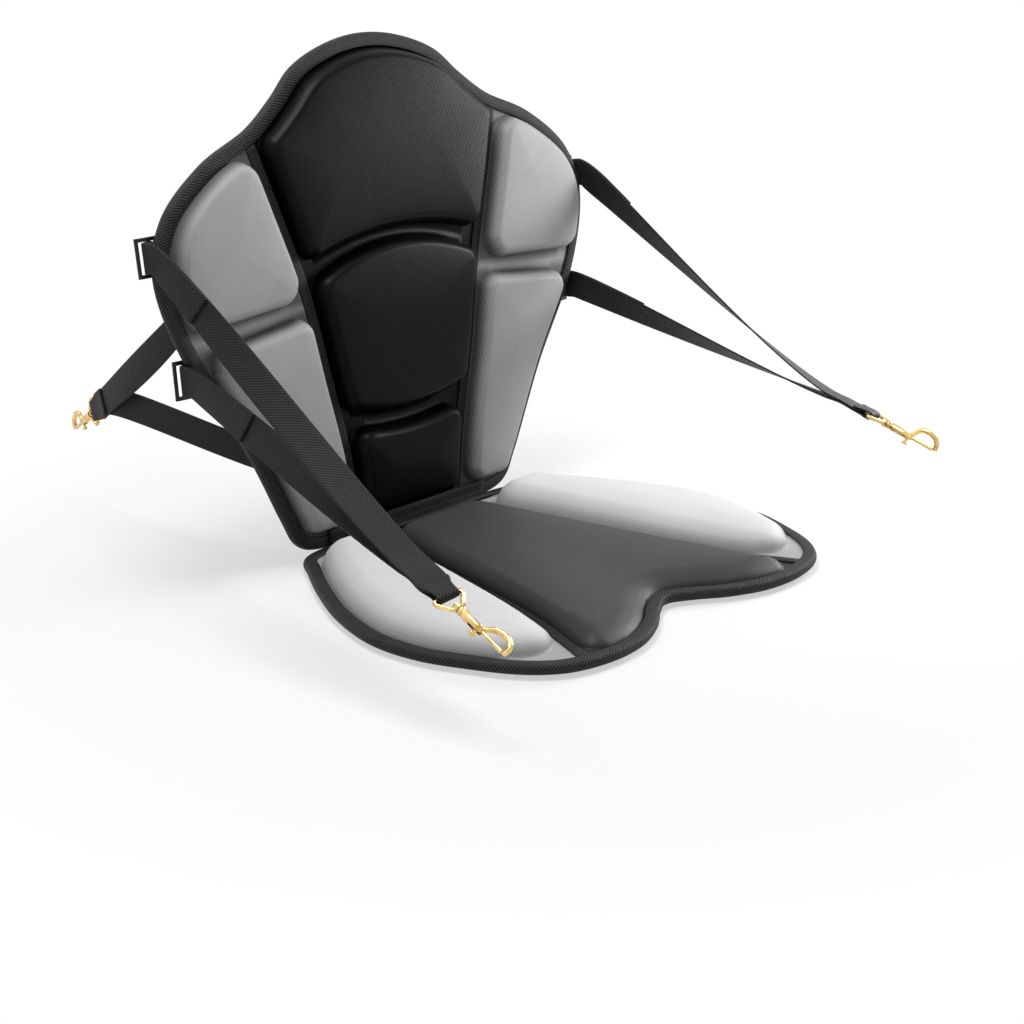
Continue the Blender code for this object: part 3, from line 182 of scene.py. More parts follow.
def onBack(across, height, forward):
    # flat pattern to the standing back
    across, height, forward = np.broadcast_arrays(across, height, forward)
    slope = 2 * layers["lean"] * height
    size = np.sqrt(1 + slope * slope)
    return np.stack([across, layers["foldY"] + layers["lean"] * height * height - forward / size,
                     height + forward * slope / size], -1)


def onSeat(across, ahead, up):
    across, ahead, up = np.broadcast_arrays(across, ahead, up)
    return np.stack([across, layers["foldY"] - ahead, up], -1)


# materials
class Wire:
    # wraps a node socket so that a sum on it adds Math nodes
    def __init__(self, paint, link):
        self.paint, self.link = paint, link

    def math(self, kind, *others):
        return self.paint.add("ShaderNodeMath", {"operation": kind}, [self, *others])

    def __add__(self, other):
        return self.math("ADD", other)

    def __mul__(self, other):
        return self.math("MULTIPLY", other)

    def __sub__(self, other):
        return self.math("SUBTRACT", other)

    def __truediv__(self, other):
        return self.math("DIVIDE", other)

    def __pow__(self, other):
        return self.math("POWER", other)

    def __rsub__(self, other):
        return self.paint.add("ShaderNodeMath", {"operation": "SUBTRACT"}, [other, self])

    def __rtruediv__(self, other):
        return self.paint.add("ShaderNodeMath", {"operation": "DIVIDE"}, [other, self])

    __radd__ = __add__
    __rmul__ = __mul__


class Nodes:
    def __init__(self, tree):
        self.tree = tree

    def add(self, kind, settings=None, values=None, out=0):
        node = self.tree.nodes.new(kind)
        for key, value in (settings or {}).items():
            setattr(node, key, value)
        pairs = values.items() if isinstance(values, dict) else enumerate(values or [])
        for key, value in pairs:
            if isinstance(value, Wire):
                self.tree.links.new(value.link, node.inputs[key])
            else:
                node.inputs[key].default_value = value
        return Wire(self, node.outputs[out])

    def plainRays(self):
        # 1 for rays that should meet plain white: straight, mirrored and through glass
        seen = [self.add("ShaderNodeLightPath", out="Is %s Ray" % word)
                for word in ("Camera", "Glossy", "Transmission")]
        return (seen[0] + seen[1] + seen[2]).math("MINIMUM", 1.0)

    def blended(self, share, a, b, output):
        both = self.add("ShaderNodeMixShader", None, [share, a, b])
        self.tree.links.new(both.link, self.tree.nodes[output].inputs["Surface"])


class Paint(Nodes):
    def __init__(self, name, fixed):
        self.material = bpy.data.materials.new(name)
        self.material.use_nodes = True
        super().__init__(self.material.node_tree)
        self.shader = self.tree.nodes["Principled BSDF"]
        for key, value in fixed.items():
            self.shader.inputs[key].default_value = value

    def feed(self, key, value):
        self.tree.links.new(value.link, self.shader.inputs[key])

    def pattern(self):
        # the piece's own map: metres along and across the cloth
        spot = self.add("ShaderNodeTexCoord", out=2)
        u, v = [self.add("ShaderNodeSeparateXYZ", None, [spot], out=k) for k in range(2)]
        return u, v, spot

    def place(self):
        return self.add("ShaderNodeTexCoord", out=3)

    def noise(self, vector, scale, detail=3.0, rough=0.5):
        return self.add("ShaderNodeTexNoise", None,
                        {"Vector": vector, "Scale": scale, "Detail": detail, "Roughness": rough})

    def wave(self, value, pitch):
        return (value * (2 * math.pi / pitch)).math("SINE") * 0.5 + 0.5

    def checker(self, u, v, across, along):
        # plain weave, threads of the given widths
        waves = [(value * (math.pi / pitch)).math("SINE") for value, pitch in ((u, across), (v, along))]
        return (waves[0] * waves[1]) * 0.5 + 0.5

    def line(self, value, at, half):
        return (value - at).math("ABSOLUTE").math("LESS_THAN", half)

    def mix(self, factor, a, b):
        return self.add("ShaderNodeMix", {"data_type": "RGBA"}, {0: factor, 6: a, 7: b}, out=2)

    def bump(self, height, depth, strength=1.0):
        self.feed("Normal", self.add("ShaderNodeBump", None,
                                     {"Height": height, "Distance": depth, "Strength": strength}))


def grey(value, cool=0.0):
    return (value, value, value * (1 + cool), 1.0)


# knit cloth pressed onto the foam: fine upright ribs, slightly uneven; a painted shade darkens it along pad
# edges and in channels
def ribbedCloth(name, look):
    paint = Paint(name, {"Sheen Weight": look["sheen"], "Sheen Roughness": 0.35,
                         "Specular IOR Level": look["spec"]})
    u, v, spot = paint.pattern()
    drift = paint.noise(spot, 45.0, 2.0)
    rib = paint.wave(u + drift * 0.0016, look["rib"])
    cross = paint.wave(v + drift * 0.0010, look["cross"])
    weave = rib * 0.62 + cross * 0.38
    cloud = paint.noise(spot, 22.0, 4.0, 0.6)
    fuzz = paint.noise(spot, 1500.0, 2.0)
    paintedShade = paint.add("ShaderNodeAttribute", {"attribute_name": "paintedShade"}, out=2)
    shade = weave * look["contrast"] + (cloud - 0.5) * look["cloud"] + (fuzz - 0.5) * 0.25 + 0.3
    cloth = paint.mix(shade, look["low"], look["high"])
    # painted shade: the base colour is pulled towards a dark tone where the mesh's painted-shade amount is
    # high
    paint.feed("Base Color", paint.mix(paintedShade * look["paintedShade"], cloth, look["paintedCreaseShade"]))
    paint.feed("Roughness", look["rough"] + (fuzz - 0.5) * 0.12)
    paint.bump(weave * 0.8 + fuzz * 0.35, look["depth"], 0.7)
    return paint.material


# plain-woven webbing with a stitched end; v runs in metres from the snap's eye
def wovenWebbing(name, look):
    paint = Paint(name, {"Roughness": look["rough"], "Sheen Weight": 0.02, "Specular IOR Level": 0.2})
    u, v, spot = paint.pattern()
    checker = paint.checker(u, v, look["across"], look["along"])
    cloud = paint.noise(spot, 160.0, 3.0)
    tone = (checker ** 2.0) * (0.7 + cloud * 0.5)
    cloth = paint.mix(tone, look["low"], look["high"])
    edge = paint.line(u.math("ABSOLUTE"), look["boxHalf"], look["threadHalf"])
    inBox = v.math("GREATER_THAN", look["boxNear"]) * v.math("LESS_THAN", look["boxFar"])
    levels = (look["boxNear"], look["boxFar"], (look["boxNear"] + look["boxFar"]) / 2)
    near, far, middle = [paint.line(v, level, look["threadHalf"]) for level in levels]
    rows = (near + far + middle) * u.math("ABSOLUTE").math("LESS_THAN", look["boxHalf"])
    line = (edge * inBox + rows).math("MINIMUM", 1.0)
    thread = line * paint.wave(u + v, 0.0022).math("GREATER_THAN", 0.22)
    paint.feed("Base Color", paint.mix(thread, cloth, look["thread"]))
    paint.bump(checker + thread * 0.9 - line * 0.4, look["depth"], 0.9)
    return paint.material


# twill tape: slanting ribs, and stitches at a distance from its edge
def slantedTape(name, look):
    paint = Paint(name, {"Roughness": look["rough"], "Sheen Weight": 0.02, "Specular IOR Level": 0.16})
    u, v, spot = paint.pattern()
    drift = paint.noise(spot, 70.0, 2.0)
    rib = paint.wave(u + v * look["slant"] + drift * 0.0006, look["rib"])
    ribs = rib * 0.75 + paint.wave(v - u * 0.3, 0.0010) * 0.25
    cloud = paint.noise(spot, 90.0, 3.0)
    tone = (ribs ** 1.8) * (0.7 + cloud * 0.6)
    line = paint.line(v, look["stitchAt"], look["threadHalf"])
    thread = line * paint.wave(u, look["stitch"]).math("GREATER_THAN", 0.25)
    paint.feed("Base Color", paint.mix(thread, paint.mix(tone, look["low"], look["high"]), look["thread"]))
    paint.bump(ribs + thread * 1.2 - line * 0.6, look["depth"], 0.85)
    return paint.material


# packcloth of the covers
def packCloth(name, look):
    paint = Paint(name, {"Roughness": look["rough"], "Sheen Weight": 0.02, "Specular IOR Level": 0.2})
    u, v, spot = paint.pattern()
    weave = paint.checker(u, v, look["pitch"], look["pitch"])
    cloud = paint.noise(spot, 30.0, 4.0)
    paint.feed("Base Color", paint.mix(weave * 0.6 + cloud * 0.4, look["low"], look["high"]))
    paint.bump(weave + cloud * 2.0, look["depth"], 0.8)
    return paint.material


def mouldedPlastic(name, look):
    paint = Paint(name, {"Specular IOR Level": 0.3})
    spot = paint.place()
    cloud = paint.noise(spot, 60.0, 3.0)
    paint.feed("Base Color", paint.mix(cloud, look["low"], look["high"]))
    paint.feed("Roughness", cloud * 0.15 + look["rough"])
    paint.bump(paint.noise(spot, 900.0, 3.0), 0.00008, 0.5)
    return paint.material


# base colour moves between a dark and a bright tone in noise patches: partly tarnish, partly painted
# reflections and shade
def polishedMetal(name, look):
    paint = Paint(name, {"Metallic": 1.0})
    spot = paint.place()
    cloud = paint.noise(spot, 90.0, 3.0)
    sharp = ((cloud - 0.30) * 3.0).math("MAXIMUM", 0.0).math("MINIMUM", 1.0)
    paint.feed("Base Color", paint.mix(sharp, look["low"], look["high"]))
    paint.feed("Roughness", cloud * 0.14 + look["rough"])
    paint.bump(cloud, look["depth"], 0.25)
    return paint.material


# each cloth's painted shade: its strength, and the dark tone it darkens to at pad edges and in channels
cloths = {
    "back": {"low": grey(0.0012), "high": grey(0.0036, 0.03), "rough": 0.34, "sheen": 0.004, "spec": 0.075,
             "rib": 0.0019, "cross": 0.0012, "contrast": 0.5, "cloud": 0.5, "depth": 0.00016,
             "paintedShade": 0.8, "paintedCreaseShade": grey(0.0004)},
    "side": {"low": grey(0.235), "high": grey(0.415, 0.02), "rough": 0.52, "sheen": 0.03, "spec": 0.3,
             "rib": 0.0019, "cross": 0.0013, "contrast": 0.5, "cloud": 0.35, "depth": 0.00018,
             "paintedShade": 0.80, "paintedCreaseShade": grey(0.045)},
    "leaf": {"low": grey(0.58), "high": grey(0.84, 0.01), "rough": 0.52, "sheen": 0.03, "spec": 0.3,
             "rib": 0.0019, "cross": 0.0013, "contrast": 0.45, "cloud": 0.35, "depth": 0.00016,
             "paintedShade": 0.55, "paintedCreaseShade": grey(0.12)},
    "seat": {"low": grey(0.034), "high": grey(0.070, 0.02), "rough": 0.42, "sheen": 0.02, "spec": 0.14,
             "rib": 0.0016, "cross": 0.0010, "contrast": 0.4, "cloud": 0.5, "depth": 0.00010,
             "paintedShade": 0.7, "paintedCreaseShade": grey(0.006)},
}
paints = {key: ribbedCloth(key + "Cloth", look) for key, look in cloths.items()}
paints["web"] = wovenWebbing("strapWebbing", {
    "low": grey(0.0015), "high": grey(0.038), "thread": grey(0.03), "rough": 0.55, "across": 0.00159,
    "along": 0.0015, "boxHalf": 0.0095, "boxNear": 0.026, "boxFar": 0.044, "threadHalf": 0.0005,
    "depth": 0.0004})
tapeLook = {"low": grey(0.0012), "high": grey(0.068), "rough": 0.6, "rib": 0.0030, "slant": -0.8,
            "stitchAt": 0.0105, "stitch": 0.0034, "thread": grey(0.03), "threadHalf": 0.00045,
            "depth": 0.00030}
paints["binding"] = slantedTape("bindingTape", tapeLook)
paints["tape"] = slantedTape("seamTape", dict(tapeLook, stitchAt=0.0014, high=grey(0.045)))
paints["cover"] = packCloth("coverCloth", {"low": grey(0.004), "high": grey(0.026), "rough": 0.6,
                                           "pitch": 0.0012, "depth": 0.00018})
paints["plastic"] = mouldedPlastic("blackPlastic", {"low": grey(0.006), "high": grey(0.014), "rough": 0.32})
paints["sheet"] = mouldedPlastic("sheetPlastic", {"low": grey(0.07), "high": grey(0.10), "rough": 0.5})
# dark brass tone: partly tarnish, partly painted shade and reflections
paints["brass"] = polishedMetal("polishedBrass", {"low": (0.50, 0.31, 0.10, 1), "high": (0.90, 0.64, 0.27, 1),
                                                  "rough": 0.08, "depth": 0.00002})
paints["steel"] = polishedMetal("springSteel", {"low": grey(0.45), "high": grey(0.6), "rough": 0.25,
                                                "depth": 0.00002})
print("materials made")


# meshes
def outward(bm):
    bm.normal_update()
    bmesh.ops.recalc_face_normals(bm, faces=list(bm.faces))


def newMesh(name, bm):
    mesh = bpy.data.meshes.new(name)
    bm.to_mesh(mesh)
    bm.free()
    return mesh


def evaluatedMesh(holder):
    bpy.context.view_layer.update()
    return bpy.data.meshes.new_from_object(holder.evaluated_get(bpy.context.evaluated_depsgraph_get()))


def newPiece(name, bm, paint, body="seat"):
    made = newObject(name, newMesh(name, bm))
    made.data.materials.append(paint)
    made.data.shade_smooth()
    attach(made, body)
    return made


def gridPiece(name, spots, cloth, paint, rear, paintedShade=None):
    # rows x columns of places for the front and the rear of a panel, and the cloth's metres at each; an
    # optional amount of painted shade at each point
    rows, columns = spots.shape[:2]
    bm = bmesh.new()
    bmesh.ops.create_grid(bm, x_segments=columns - 1, y_segments=rows - 1, size=1)
    key = bm.verts.layers.int.new("key")
    # per-point amount of painted shade, read by the cloth's material
    paintedCreaseShade = bm.verts.layers.float.new("paintedShade")
    for vert in bm.verts:
        row, column = [round((c + 1) / 2 * (n - 1)) for c, n in ((vert.co.y, rows), (vert.co.x, columns))]
        vert[key] = row * columns + column
    raised = bmesh.ops.extrude_face_region(bm, geom=list(bm.faces))
    behind = {item for item in raised["geom"] if isinstance(item, bmesh.types.BMVert)}
    layer = bm.loops.layers.uv.new("cloth")
    flatCloth, front, back = cloth.reshape(-1, 2), spots.reshape(-1, 3), rear.reshape(-1, 3)
    for face in bm.faces:
        for loop in face.loops:
            loop[layer].uv = flatCloth[loop.vert[key]]
    for vert in bm.verts:
        vert.co = back[vert[key]] if vert in behind else front[vert[key]]
        if paintedShade is not None:
            vert[paintedCreaseShade] = paintedShade.flat[vert[key]]
    bmesh.ops.remove_doubles(bm, verts=list(bm.verts), dist=0.00001)
    outward(bm)
    return newPiece(name, bm, paint)


# pads: four-sided patches of the pattern whose height grows from their edges
def spread(count, lean=2.2):
    # shares from 0 to 1, closer together near both ends
    t = np.linspace(-1, 1, count)
    return 0.5 + 0.5 * np.sign(t) * (1 - (1 - np.abs(t)) ** lean)


def toLine(points, line):
    # distance of each point to a closed run of points
    a, ab = line, np.roll(line, -1, axis=0) - line
    size = np.maximum((ab * ab).sum(-1), 1e-12)
    best = []
    for start in range(0, len(points), 3000):
        p = points[start:start + 3000, None, :] - a
        t = np.clip((p * ab).sum(-1) / size, 0, 1)
        best.append(np.sqrt((((p - ab * t[..., None]) ** 2).sum(-1)).min(1)))
    return np.concatenate(best)


def inside(points, line):
    x, y = points[:, 0:1], points[:, 1:2]
    a, b = line, np.roll(line, -1, axis=0)
    straddles = (a[:, 1] > y) != (b[:, 1] > y)
    rise = np.where(b[:, 1] == a[:, 1], 1e-12, b[:, 1] - a[:, 1])
    return (straddles & (x < a[:, 0] + (y - a[:, 1]) * (b[:, 0] - a[:, 0]) / rise)).sum(1) % 2 == 1


def depthIn(points, line, corner):
    # how deep each point lies in an outline whose corners are rounded
    signed = toLine(points, line) * np.where(inside(points, line), 1, -1)
    way = np.roll(line, -1, axis=0) - np.roll(line, 1, axis=0)
    way /= np.maximum(np.linalg.norm(way, axis=1)[:, None], 1e-9)
    moved = line + np.stack([-way[:, 1], way[:, 0]], 1) * corner
    core = moved[inside(moved, line) & (toLine(moved, line) > corner - 0.0004)]
    if len(core) < 4:
        return signed
    return np.where(signed < corner, np.minimum(corner - toLine(points, core), signed), signed)


def patch(pad, s, t):
    left, right = pad["left"](t)[:, None], pad["right"](t)[:, None]
    foot, head = pad["foot"](s)[None], pad["head"](s)[None]
    s, t = s[None, :, None], t[:, None, None]
    corners = (left[:1] * (1 - s) + right[:1] * s) * (1 - t) + (left[-1:] * (1 - s) + right[-1:] * s) * t
    return left * (1 - s) + right * s + foot * (1 - t) + head * t - corners


def outlineOf(pad, count=90):
    # the pad's own outline; a short pad stops before the patch does
    t = np.linspace(0, 1, count)[:-1]
    stop = pad.get("stop", 1.0)
    sides = [pad["foot"](t), pad["right"](t * stop), pad["head"](1 - t), pad["left"]((1 - t) * stop)]
    if stop < 1:
        sides[2] = patch(pad, 1 - t, np.array([stop]))[0]
    return np.concatenate(sides)


# three of these settings set the painted shade: how fast it fades into a pad, and its amount on a panel's
# edge columns and along the channels
wallLook = {"headFrom": 0.72, "headSpan": 0.28, "headCurve": 1.5, "crownFrom": 0.4, "crownReach": 0.022,
            "paintedShadeFall": 3.4, "edgePaintedShade": 0.2, "channelPaintedShade": 0.15, "sideStart": 0.08, "sideSpan": 0.86}


def riseAt(pad, points, share):
    depth = depthIn(points, outlineOf(pad), pad["corner"])
    # the wall may be wider near the head
    look = wallLook
    nearHead = np.clip((share - look["headFrom"]) / look["headSpan"], 0, 1) ** look["headCurve"]
    edge = pad["edge"] + (pad.get("headEdge", pad["edge"]) - pad["edge"]) * nearHead
    q = np.clip(depth / edge, 0, 1)
    wall = (1 - (1 - q) ** pad["power"]) ** pad["steep"]
    high = pad["rise"] + (pad["headRise"] - pad["rise"]) * share
    crown = pad["crown"] * (1 - np.exp(-np.maximum(depth - look["crownFrom"] * edge, 0) / look["crownReach"]))
    # painted shade: darkest at the pad's outline, fading within its wall
    paintedShade = np.exp(-(np.maximum(depth, 0) / pad["edge"] * look["paintedShadeFall"]) ** 2)
    return (high + crown) * wall, paintedShade


def panelPiece(name, pads, footRow, headRow, place, flange, rear, paint, sign=1, columns=61):
    s = spread(columns)
    rows, levels, paintedShades = [], [], []

    # each row has its heights and the painted shade of its points
    def addRow(row, rise, paintedShade, atEdge=0.0):
        rows.append(row)
        levels.append(np.concatenate([[flange], flange + rise, [flange]]))
        paintedShades.append(np.concatenate([[atEdge], paintedShade, [atEdge]]))

    bare = np.zeros(columns)
    addRow(footRow(s), bare, bare)
    for pad in pads:
        t = spread(pad["rows"])
        middle, ends = patch(pad, s, t), [pad[word](t) for word in ("leftEdge", "rightEdge")]
        rise, paintedShade = riseAt(pad, middle.reshape(-1, 2), np.repeat(t, columns))
        rise, paintedShade = rise.reshape(len(t), columns), paintedShade.reshape(len(t), columns)
        if pad is not pads[0]:
            # middle line of the channel between two pads, flat, with a little painted shade
            first = np.concatenate([ends[0][:1], middle[0], ends[1][:1]])
            addRow((rows[-1] + first) / 2, bare, bare + wallLook["channelPaintedShade"], wallLook["channelPaintedShade"])
        for k in range(len(t)):
            addRow(np.concatenate([ends[0][k:k + 1], middle[k], ends[1][k:k + 1]]), rise[k], paintedShade[k],
                   wallLook["edgePaintedShade"])
    addRow(headRow(s), bare, bare)
    flat, level = np.stack(rows), np.stack(levels)
    front = place(sign * flat[..., 0], flat[..., 1], level)
    back = place(sign * flat[..., 0], flat[..., 1], np.full_like(level, rear))
    made = gridPiece(name, front, flat, paint, back, np.stack(paintedShades))
    return made


def seamSide(seam, start, end, sign, offset):
    def run(t):
        along = start + (end - start) * np.asarray(t)
        return np.stack([sign * (seamHalf(seam, along) + offset), along], -1)
    return run


def rimRun(rim, start, end, inset):
    return lambda t: rim.at(start + (end - start) * np.asarray(t), inset)


def overHead(rim, shareAtSeam, inset):
    def run(t):
        side = 2 * np.asarray(t) - 1
        p = rim.at(1 - np.abs(side) * (1 - shareAtSeam), inset)
        p[..., 0] *= np.where(side < 0, -1, 1)
        return p
    return run


def bowed(centre, bow, seam):
    half = seamHalf(seam, centre + bow) - middleMargin

    def run(t):
        side = 2 * np.asarray(t) - 1
        return np.stack([half * side, centre + bow * side * side], -1)
    return run


def straight(a, b):
    return lambda t: a + (b - a) * np.asarray(t)[:, None]


def flatRow(level, seam):
    half = seamHalf(seam, level)

    def run(s):
        x = np.concatenate([[-(half - seamGap)], (2 * s - 1) * (half - middleMargin), [half - seamGap]])
        return np.stack([x, np.full_like(x, level)], -1)
    return run


def headOf(rim, atPad, atSeam):
    over, end = overHead(rim, atPad, rimInset), rim.at(atSeam, rimInset)
    return lambda s: np.concatenate([[end * (-1, 1)], over(s), [end]])


def sideRow(rim, start, end):
    def run(s):
        inner = wallLook["sideStart"] + wallLook["sideSpan"] * s
        share = np.concatenate([[start], start + (end - start) * inner, [end]])
        return rim.at(share, rimInset)
    return run


one, zero = np.ones(1), np.zeros(1)
backPads = {"rise": 0.0156, "headRise": 0.0156, "edge": 0.0105, "corner": 0.0160, "crown": 0.0030,
            "steep": 0.72, "power": 2.5}
# ends of the back's middle pads: height at the middle, and how far each bows at the seams
backChannels = {"foot": (0.029, 0.0), "lowHead": (0.105, 0.0085), "middleFoot": (0.117, 0.0110),
                "middleHead": (0.2695, -0.0240), "crownFoot": (0.2785, -0.0170)}
backSides = {"foot": 0.026, "lowSeamHead": 0.2200, "lowRimHead": 0.2060, "highSeamFoot": 0.2320,
             "highRimFoot": 0.2235, "shoulder": 0.330, "corner": 0.020}
seatMiddle = {"rise": 0.0165, "headRise": 0.0100, "edge": 0.0120, "headEdge": 0.030, "corner": 0.0160,
              "crown": 0.0025, "rows": 161, "steep": 0.72, "power": 2.3}
seatLeaf = {"rise": 0.0240, "headRise": 0.0140, "edge": 0.0250, "headEdge": 0.018, "corner": 0.0280,
            "crown": 0.0025, "rows": 161, "steep": 0.74, "power": 2.6, "stop": 0.968}
seatPlaces = {"middleRear": 0.038, "leafRear": 0.030, "turn": 0.196, "turnFrom": 0.55}
sideFrom, rearRoom = 0.1, 0.006


def whereSeam(rim, seam, offset, inset):
    # share of the outline at which it has come in over a seam
    return rim.find(lambda x, z: x <= seamHalf(seam, z) + offset, inset, 0.5)


def pastSeam(rim, seam):
    # share of the outline, from its foot, at which it leaves the middle panel
    return rim.find(lambda x, z: x >= seamHalf(seam, z) + seamGap, rimInset)


def atSide(rim, level):
    return rim.find(lambda x, z: (z >= level) & (x > sideFrom), padInset)


def middlePad(seam, look, foot, head):
    start, end = foot(zero)[0, 1], head(zero)[0, 1]
    pad = dict(look, foot=foot, head=head)
    for word, sign in (("left", -1), ("right", 1)):
        pad[word] = seamSide(seam, start, end, sign, -middleMargin)
        pad[word + "Edge"] = seamSide(seam, start, end, sign, -seamGap)
    return pad


def sidePad(rim, seam, look, span, shares):
    pad = dict(look, left=seamSide(seam, *span, 1, sideMargin), right=rimRun(rim, *shares, padInset),
               leftEdge=seamSide(seam, *span, 1, seamGap), rightEdge=rimRun(rim, *shares, rimInset))
    pad["foot"] = straight(pad["left"](zero)[0], pad["right"](zero)[0])
    return pad


def middlePanel(name, rim, seam, pads, place, flange, rear, paint, columns):
    rooms = ((middleMargin, padInset), (seamGap, rimInset))
    heads = [whereSeam(rim, seam, -room, inset) for room, inset in rooms]
    return panelPiece(name, pads, flatRow(rim.at(0, rimInset)[1], seam), headOf(rim, *heads), place,
                      flange, rear, paint, columns=columns)


def makeBackCentre():
    head = overHead(backLine, whereSeam(backLine, backSeam, -middleMargin, padInset), padInset)
    at = {key: bowed(*value, backSeam) for key, value in backChannels.items()}
    runs = [(at["foot"], at["lowHead"], 71), (at["middleFoot"], at["middleHead"], 101),
            (at["crownFoot"], head, 111)]
    pads = [middlePad(backSeam, dict(backPads, rows=rows), foot, head) for foot, head, rows in runs]
    made = middlePanel("backCentre", backLine, backSeam, pads, onBack, layers["flange"], 0.0,
                       paints["back"], 101)
    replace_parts(made, "back_centre_panel")


def makeBackSide(name, node, sign):
    look = backSides
    shoulder = backLine.find(lambda x, z: z > look["shoulder"], 0.0)
    atTape = whereSeam(backLine, backSeam, sideMargin, padInset)
    lowFoot, lowHead, highFoot = [atSide(backLine, look[key])
                                  for key in ("foot", "lowRimHead", "highRimFoot")]
    low = sidePad(backLine, backSeam, dict(backPads, rows=111), (look["foot"], look["lowSeamHead"]),
                  (lowFoot, lowHead))
    high = sidePad(backLine, backSeam, dict(backPads, rows=91, corner=look["corner"]),
                   (look["highSeamFoot"], backLine.at(atTape, padInset)[1]), (highFoot, shoulder))
    low["head"] = straight(low["left"](one)[0], low["right"](one)[0])
    high["head"] = rimRun(backLine, atTape, shoulder, padInset)
    made = panelPiece(name, [low, high], sideRow(backLine, pastSeam(backLine, backSeam), lowFoot - rearRoom),
                      sideRow(backLine, whereSeam(backLine, backSeam, seamGap, rimInset), shoulder), onBack,
                      layers["flange"], 0.0, paints["side"], sign, 71)
    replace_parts(made, node)


def makeSeatCentre():
    front = overHead(seatLine, whereSeam(seatLine, seatSeam, -middleMargin, padInset), padInset)
    pad = middlePad(seatSeam, seatMiddle, bowed(seatPlaces["middleRear"], 0.0, seatSeam), front)
    made = middlePanel("seatCentre", seatLine, seatSeam, [pad], onSeat, seatTop, seatBottom,
                       paints["seat"], 121)
    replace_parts(made, "seat_centre_panel")


def makeSeatSide(name, node, sign):
    leafRear = atSide(seatLine, seatPlaces["leafRear"])
    turn = seatLine.find(lambda x, z: x < seatPlaces["turn"], 0.0, seatPlaces["turnFrom"])
    frontIn = whereSeam(seatLine, seatSeam, sideMargin, padInset)
    pad = sidePad(seatLine, seatSeam, seatLeaf, (seatPlaces["leafRear"], seatLine.at(frontIn, padInset)[1]),
                  (leafRear, turn))
    pad["head"] = rimRun(seatLine, frontIn, turn, padInset)
    made = panelPiece(name, [pad], sideRow(seatLine, pastSeam(seatLine, seatSeam), leafRear - rearRoom),
                      sideRow(seatLine, whereSeam(seatLine, seatSeam, seamGap, rimInset), turn), onSeat,
                      seatTop, seatBottom, paints["leaf"], sign, 91)
    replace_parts(made, node)


makeBackCentre()
makeBackSide("backLeft", "back_left_panel", -1)
makeBackSide("backRight", "back_right_panel", 1)
makeSeatCentre()
makeSeatSide("seatLeft", "seat_left_panel", -1)
makeSeatSide("seatRight", "seat_right_panel", 1)
print("pads made")

# covers behind the back and under the seat
coverLook = {"columns": 81, "rows": 81, "ripple": 0.00016, "calmFrom": 0.014, "calmOver": 0.02,
             "fallFrom": 0.0115, "fallOver": 0.0035}


def mirrored(line):
    # the whole closed outline from its right half
    return np.concatenate([line, line[1:-1][::-1] * (-1, 1)])


def coverPiece(name, node, rim, place, levels):
    line = rim.at(np.linspace(0, 1, 1601), rimInset)
    widest = int(np.argmax(line[:, 0]))
    x = (line[widest, 0] - 0.0002) * np.sin(np.linspace(-1, 1, coverLook["columns"]) * math.pi / 2)
    near, far = line[:widest + 1], line[widest:][::-1]
    low = np.interp(np.abs(x), near[:, 0], near[:, 1])
    high = np.interp(np.abs(x), far[:, 0], far[:, 1])
    t = spread(coverLook["rows"], 1.8)[:, None]
    along = low * (1 - t) + high * t
    across = np.broadcast_to(x, along.shape)
    flat = np.stack([across, along], -1)
    edge = mirrored(line)
    depth = toLine(flat.reshape(-1, 2), edge[::6]).reshape(along.shape)
    top, bottom = levels(depth, across, along)
    made = gridPiece(name, place(across, along, top), flat, paints["cover"], place(across, along, bottom))
    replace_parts(made, node)


def rearLevels(depth, across, along):
    ripple = coverLook["ripple"] * np.sin(across * 61 + 2 * np.sin(along * 27)) * np.sin(along * 43)
    calm = np.clip((depth - coverLook["calmFrom"]) / coverLook["calmOver"], 0, 1)
    return np.full_like(depth, layers["cover"] - coverBack), np.abs(ripple) * calm - coverBack


def soleLevels(depth, across, along):
    fall = np.clip((depth - coverLook["fallFrom"]) / coverLook["fallOver"], 0, 1)
    fall = fall * fall * (3 - 2 * fall)
    return np.full_like(depth, layers["sole"] + layers["baseEdge"]), layers["sole"] * (1 - fall)


coverPiece("rearCover", "back_rear_cover", backLine, onBack, rearLevels)
coverPiece("baseCover", "seat_base_cover", seatLine, onSeat, soleLevels)

# the strip that joins the two halves along the fold, bent round its corner
gussetLook = {"half": 0.100, "up": 0.0120, "forward": 0.0150, "thick": 0.0012, "bend": 0.0022, "columns": 61}


def makeGusset():
    look = gussetLook
    top = seatTop + gap + layers["bindWall"] + gap
    corner = float(onBack(0, top, bindFront + gap)[1])
    turns = [math.radians(a) for a in range(0, 91, 15)]
    ys = [-look["forward"], -look["forward"] * 0.5] + [-look["bend"] * (1 - math.sin(a)) for a in turns]
    zs = [0.0, 0.0] + [look["bend"] * (1 - math.cos(a)) for a in turns] + [look["up"] * 0.6, look["up"]]
    ys += [0.0, 0.0]
    lean = [(0.0, 1.0)] * 2 + [(-math.sin(a), math.cos(a)) for a in turns] + [(-1.0, 0.0)] * 2
    x = np.linspace(-look["half"], look["half"], look["columns"])
    far = np.concatenate([[0], np.cumsum(np.hypot(np.diff(ys), np.diff(zs)))])
    under = np.stack([np.stack([x, np.full_like(x, corner + y), np.full_like(x, top + z)], -1)
                      for y, z in zip(ys, zs)])
    over = under + np.array([(0, a * look["thick"], b * look["thick"]) for a, b in lean])[:, None]
    cloth = np.stack([np.broadcast_to(x, over.shape[:2]), np.broadcast_to(far[:, None], over.shape[:2])], -1)
    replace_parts(gridPiece("foldStrip", over, cloth, paints["tape"], under), "fold_gusset")


makeGusset()
print("covers made")

# bindings: U tape swept round each rim
bindingLook = {"rings": 420, "soft": 0.0030, "crest": 0.0065, "lip": 0.0006, "lipFall": 0.0004,
               "waist": 0.985}


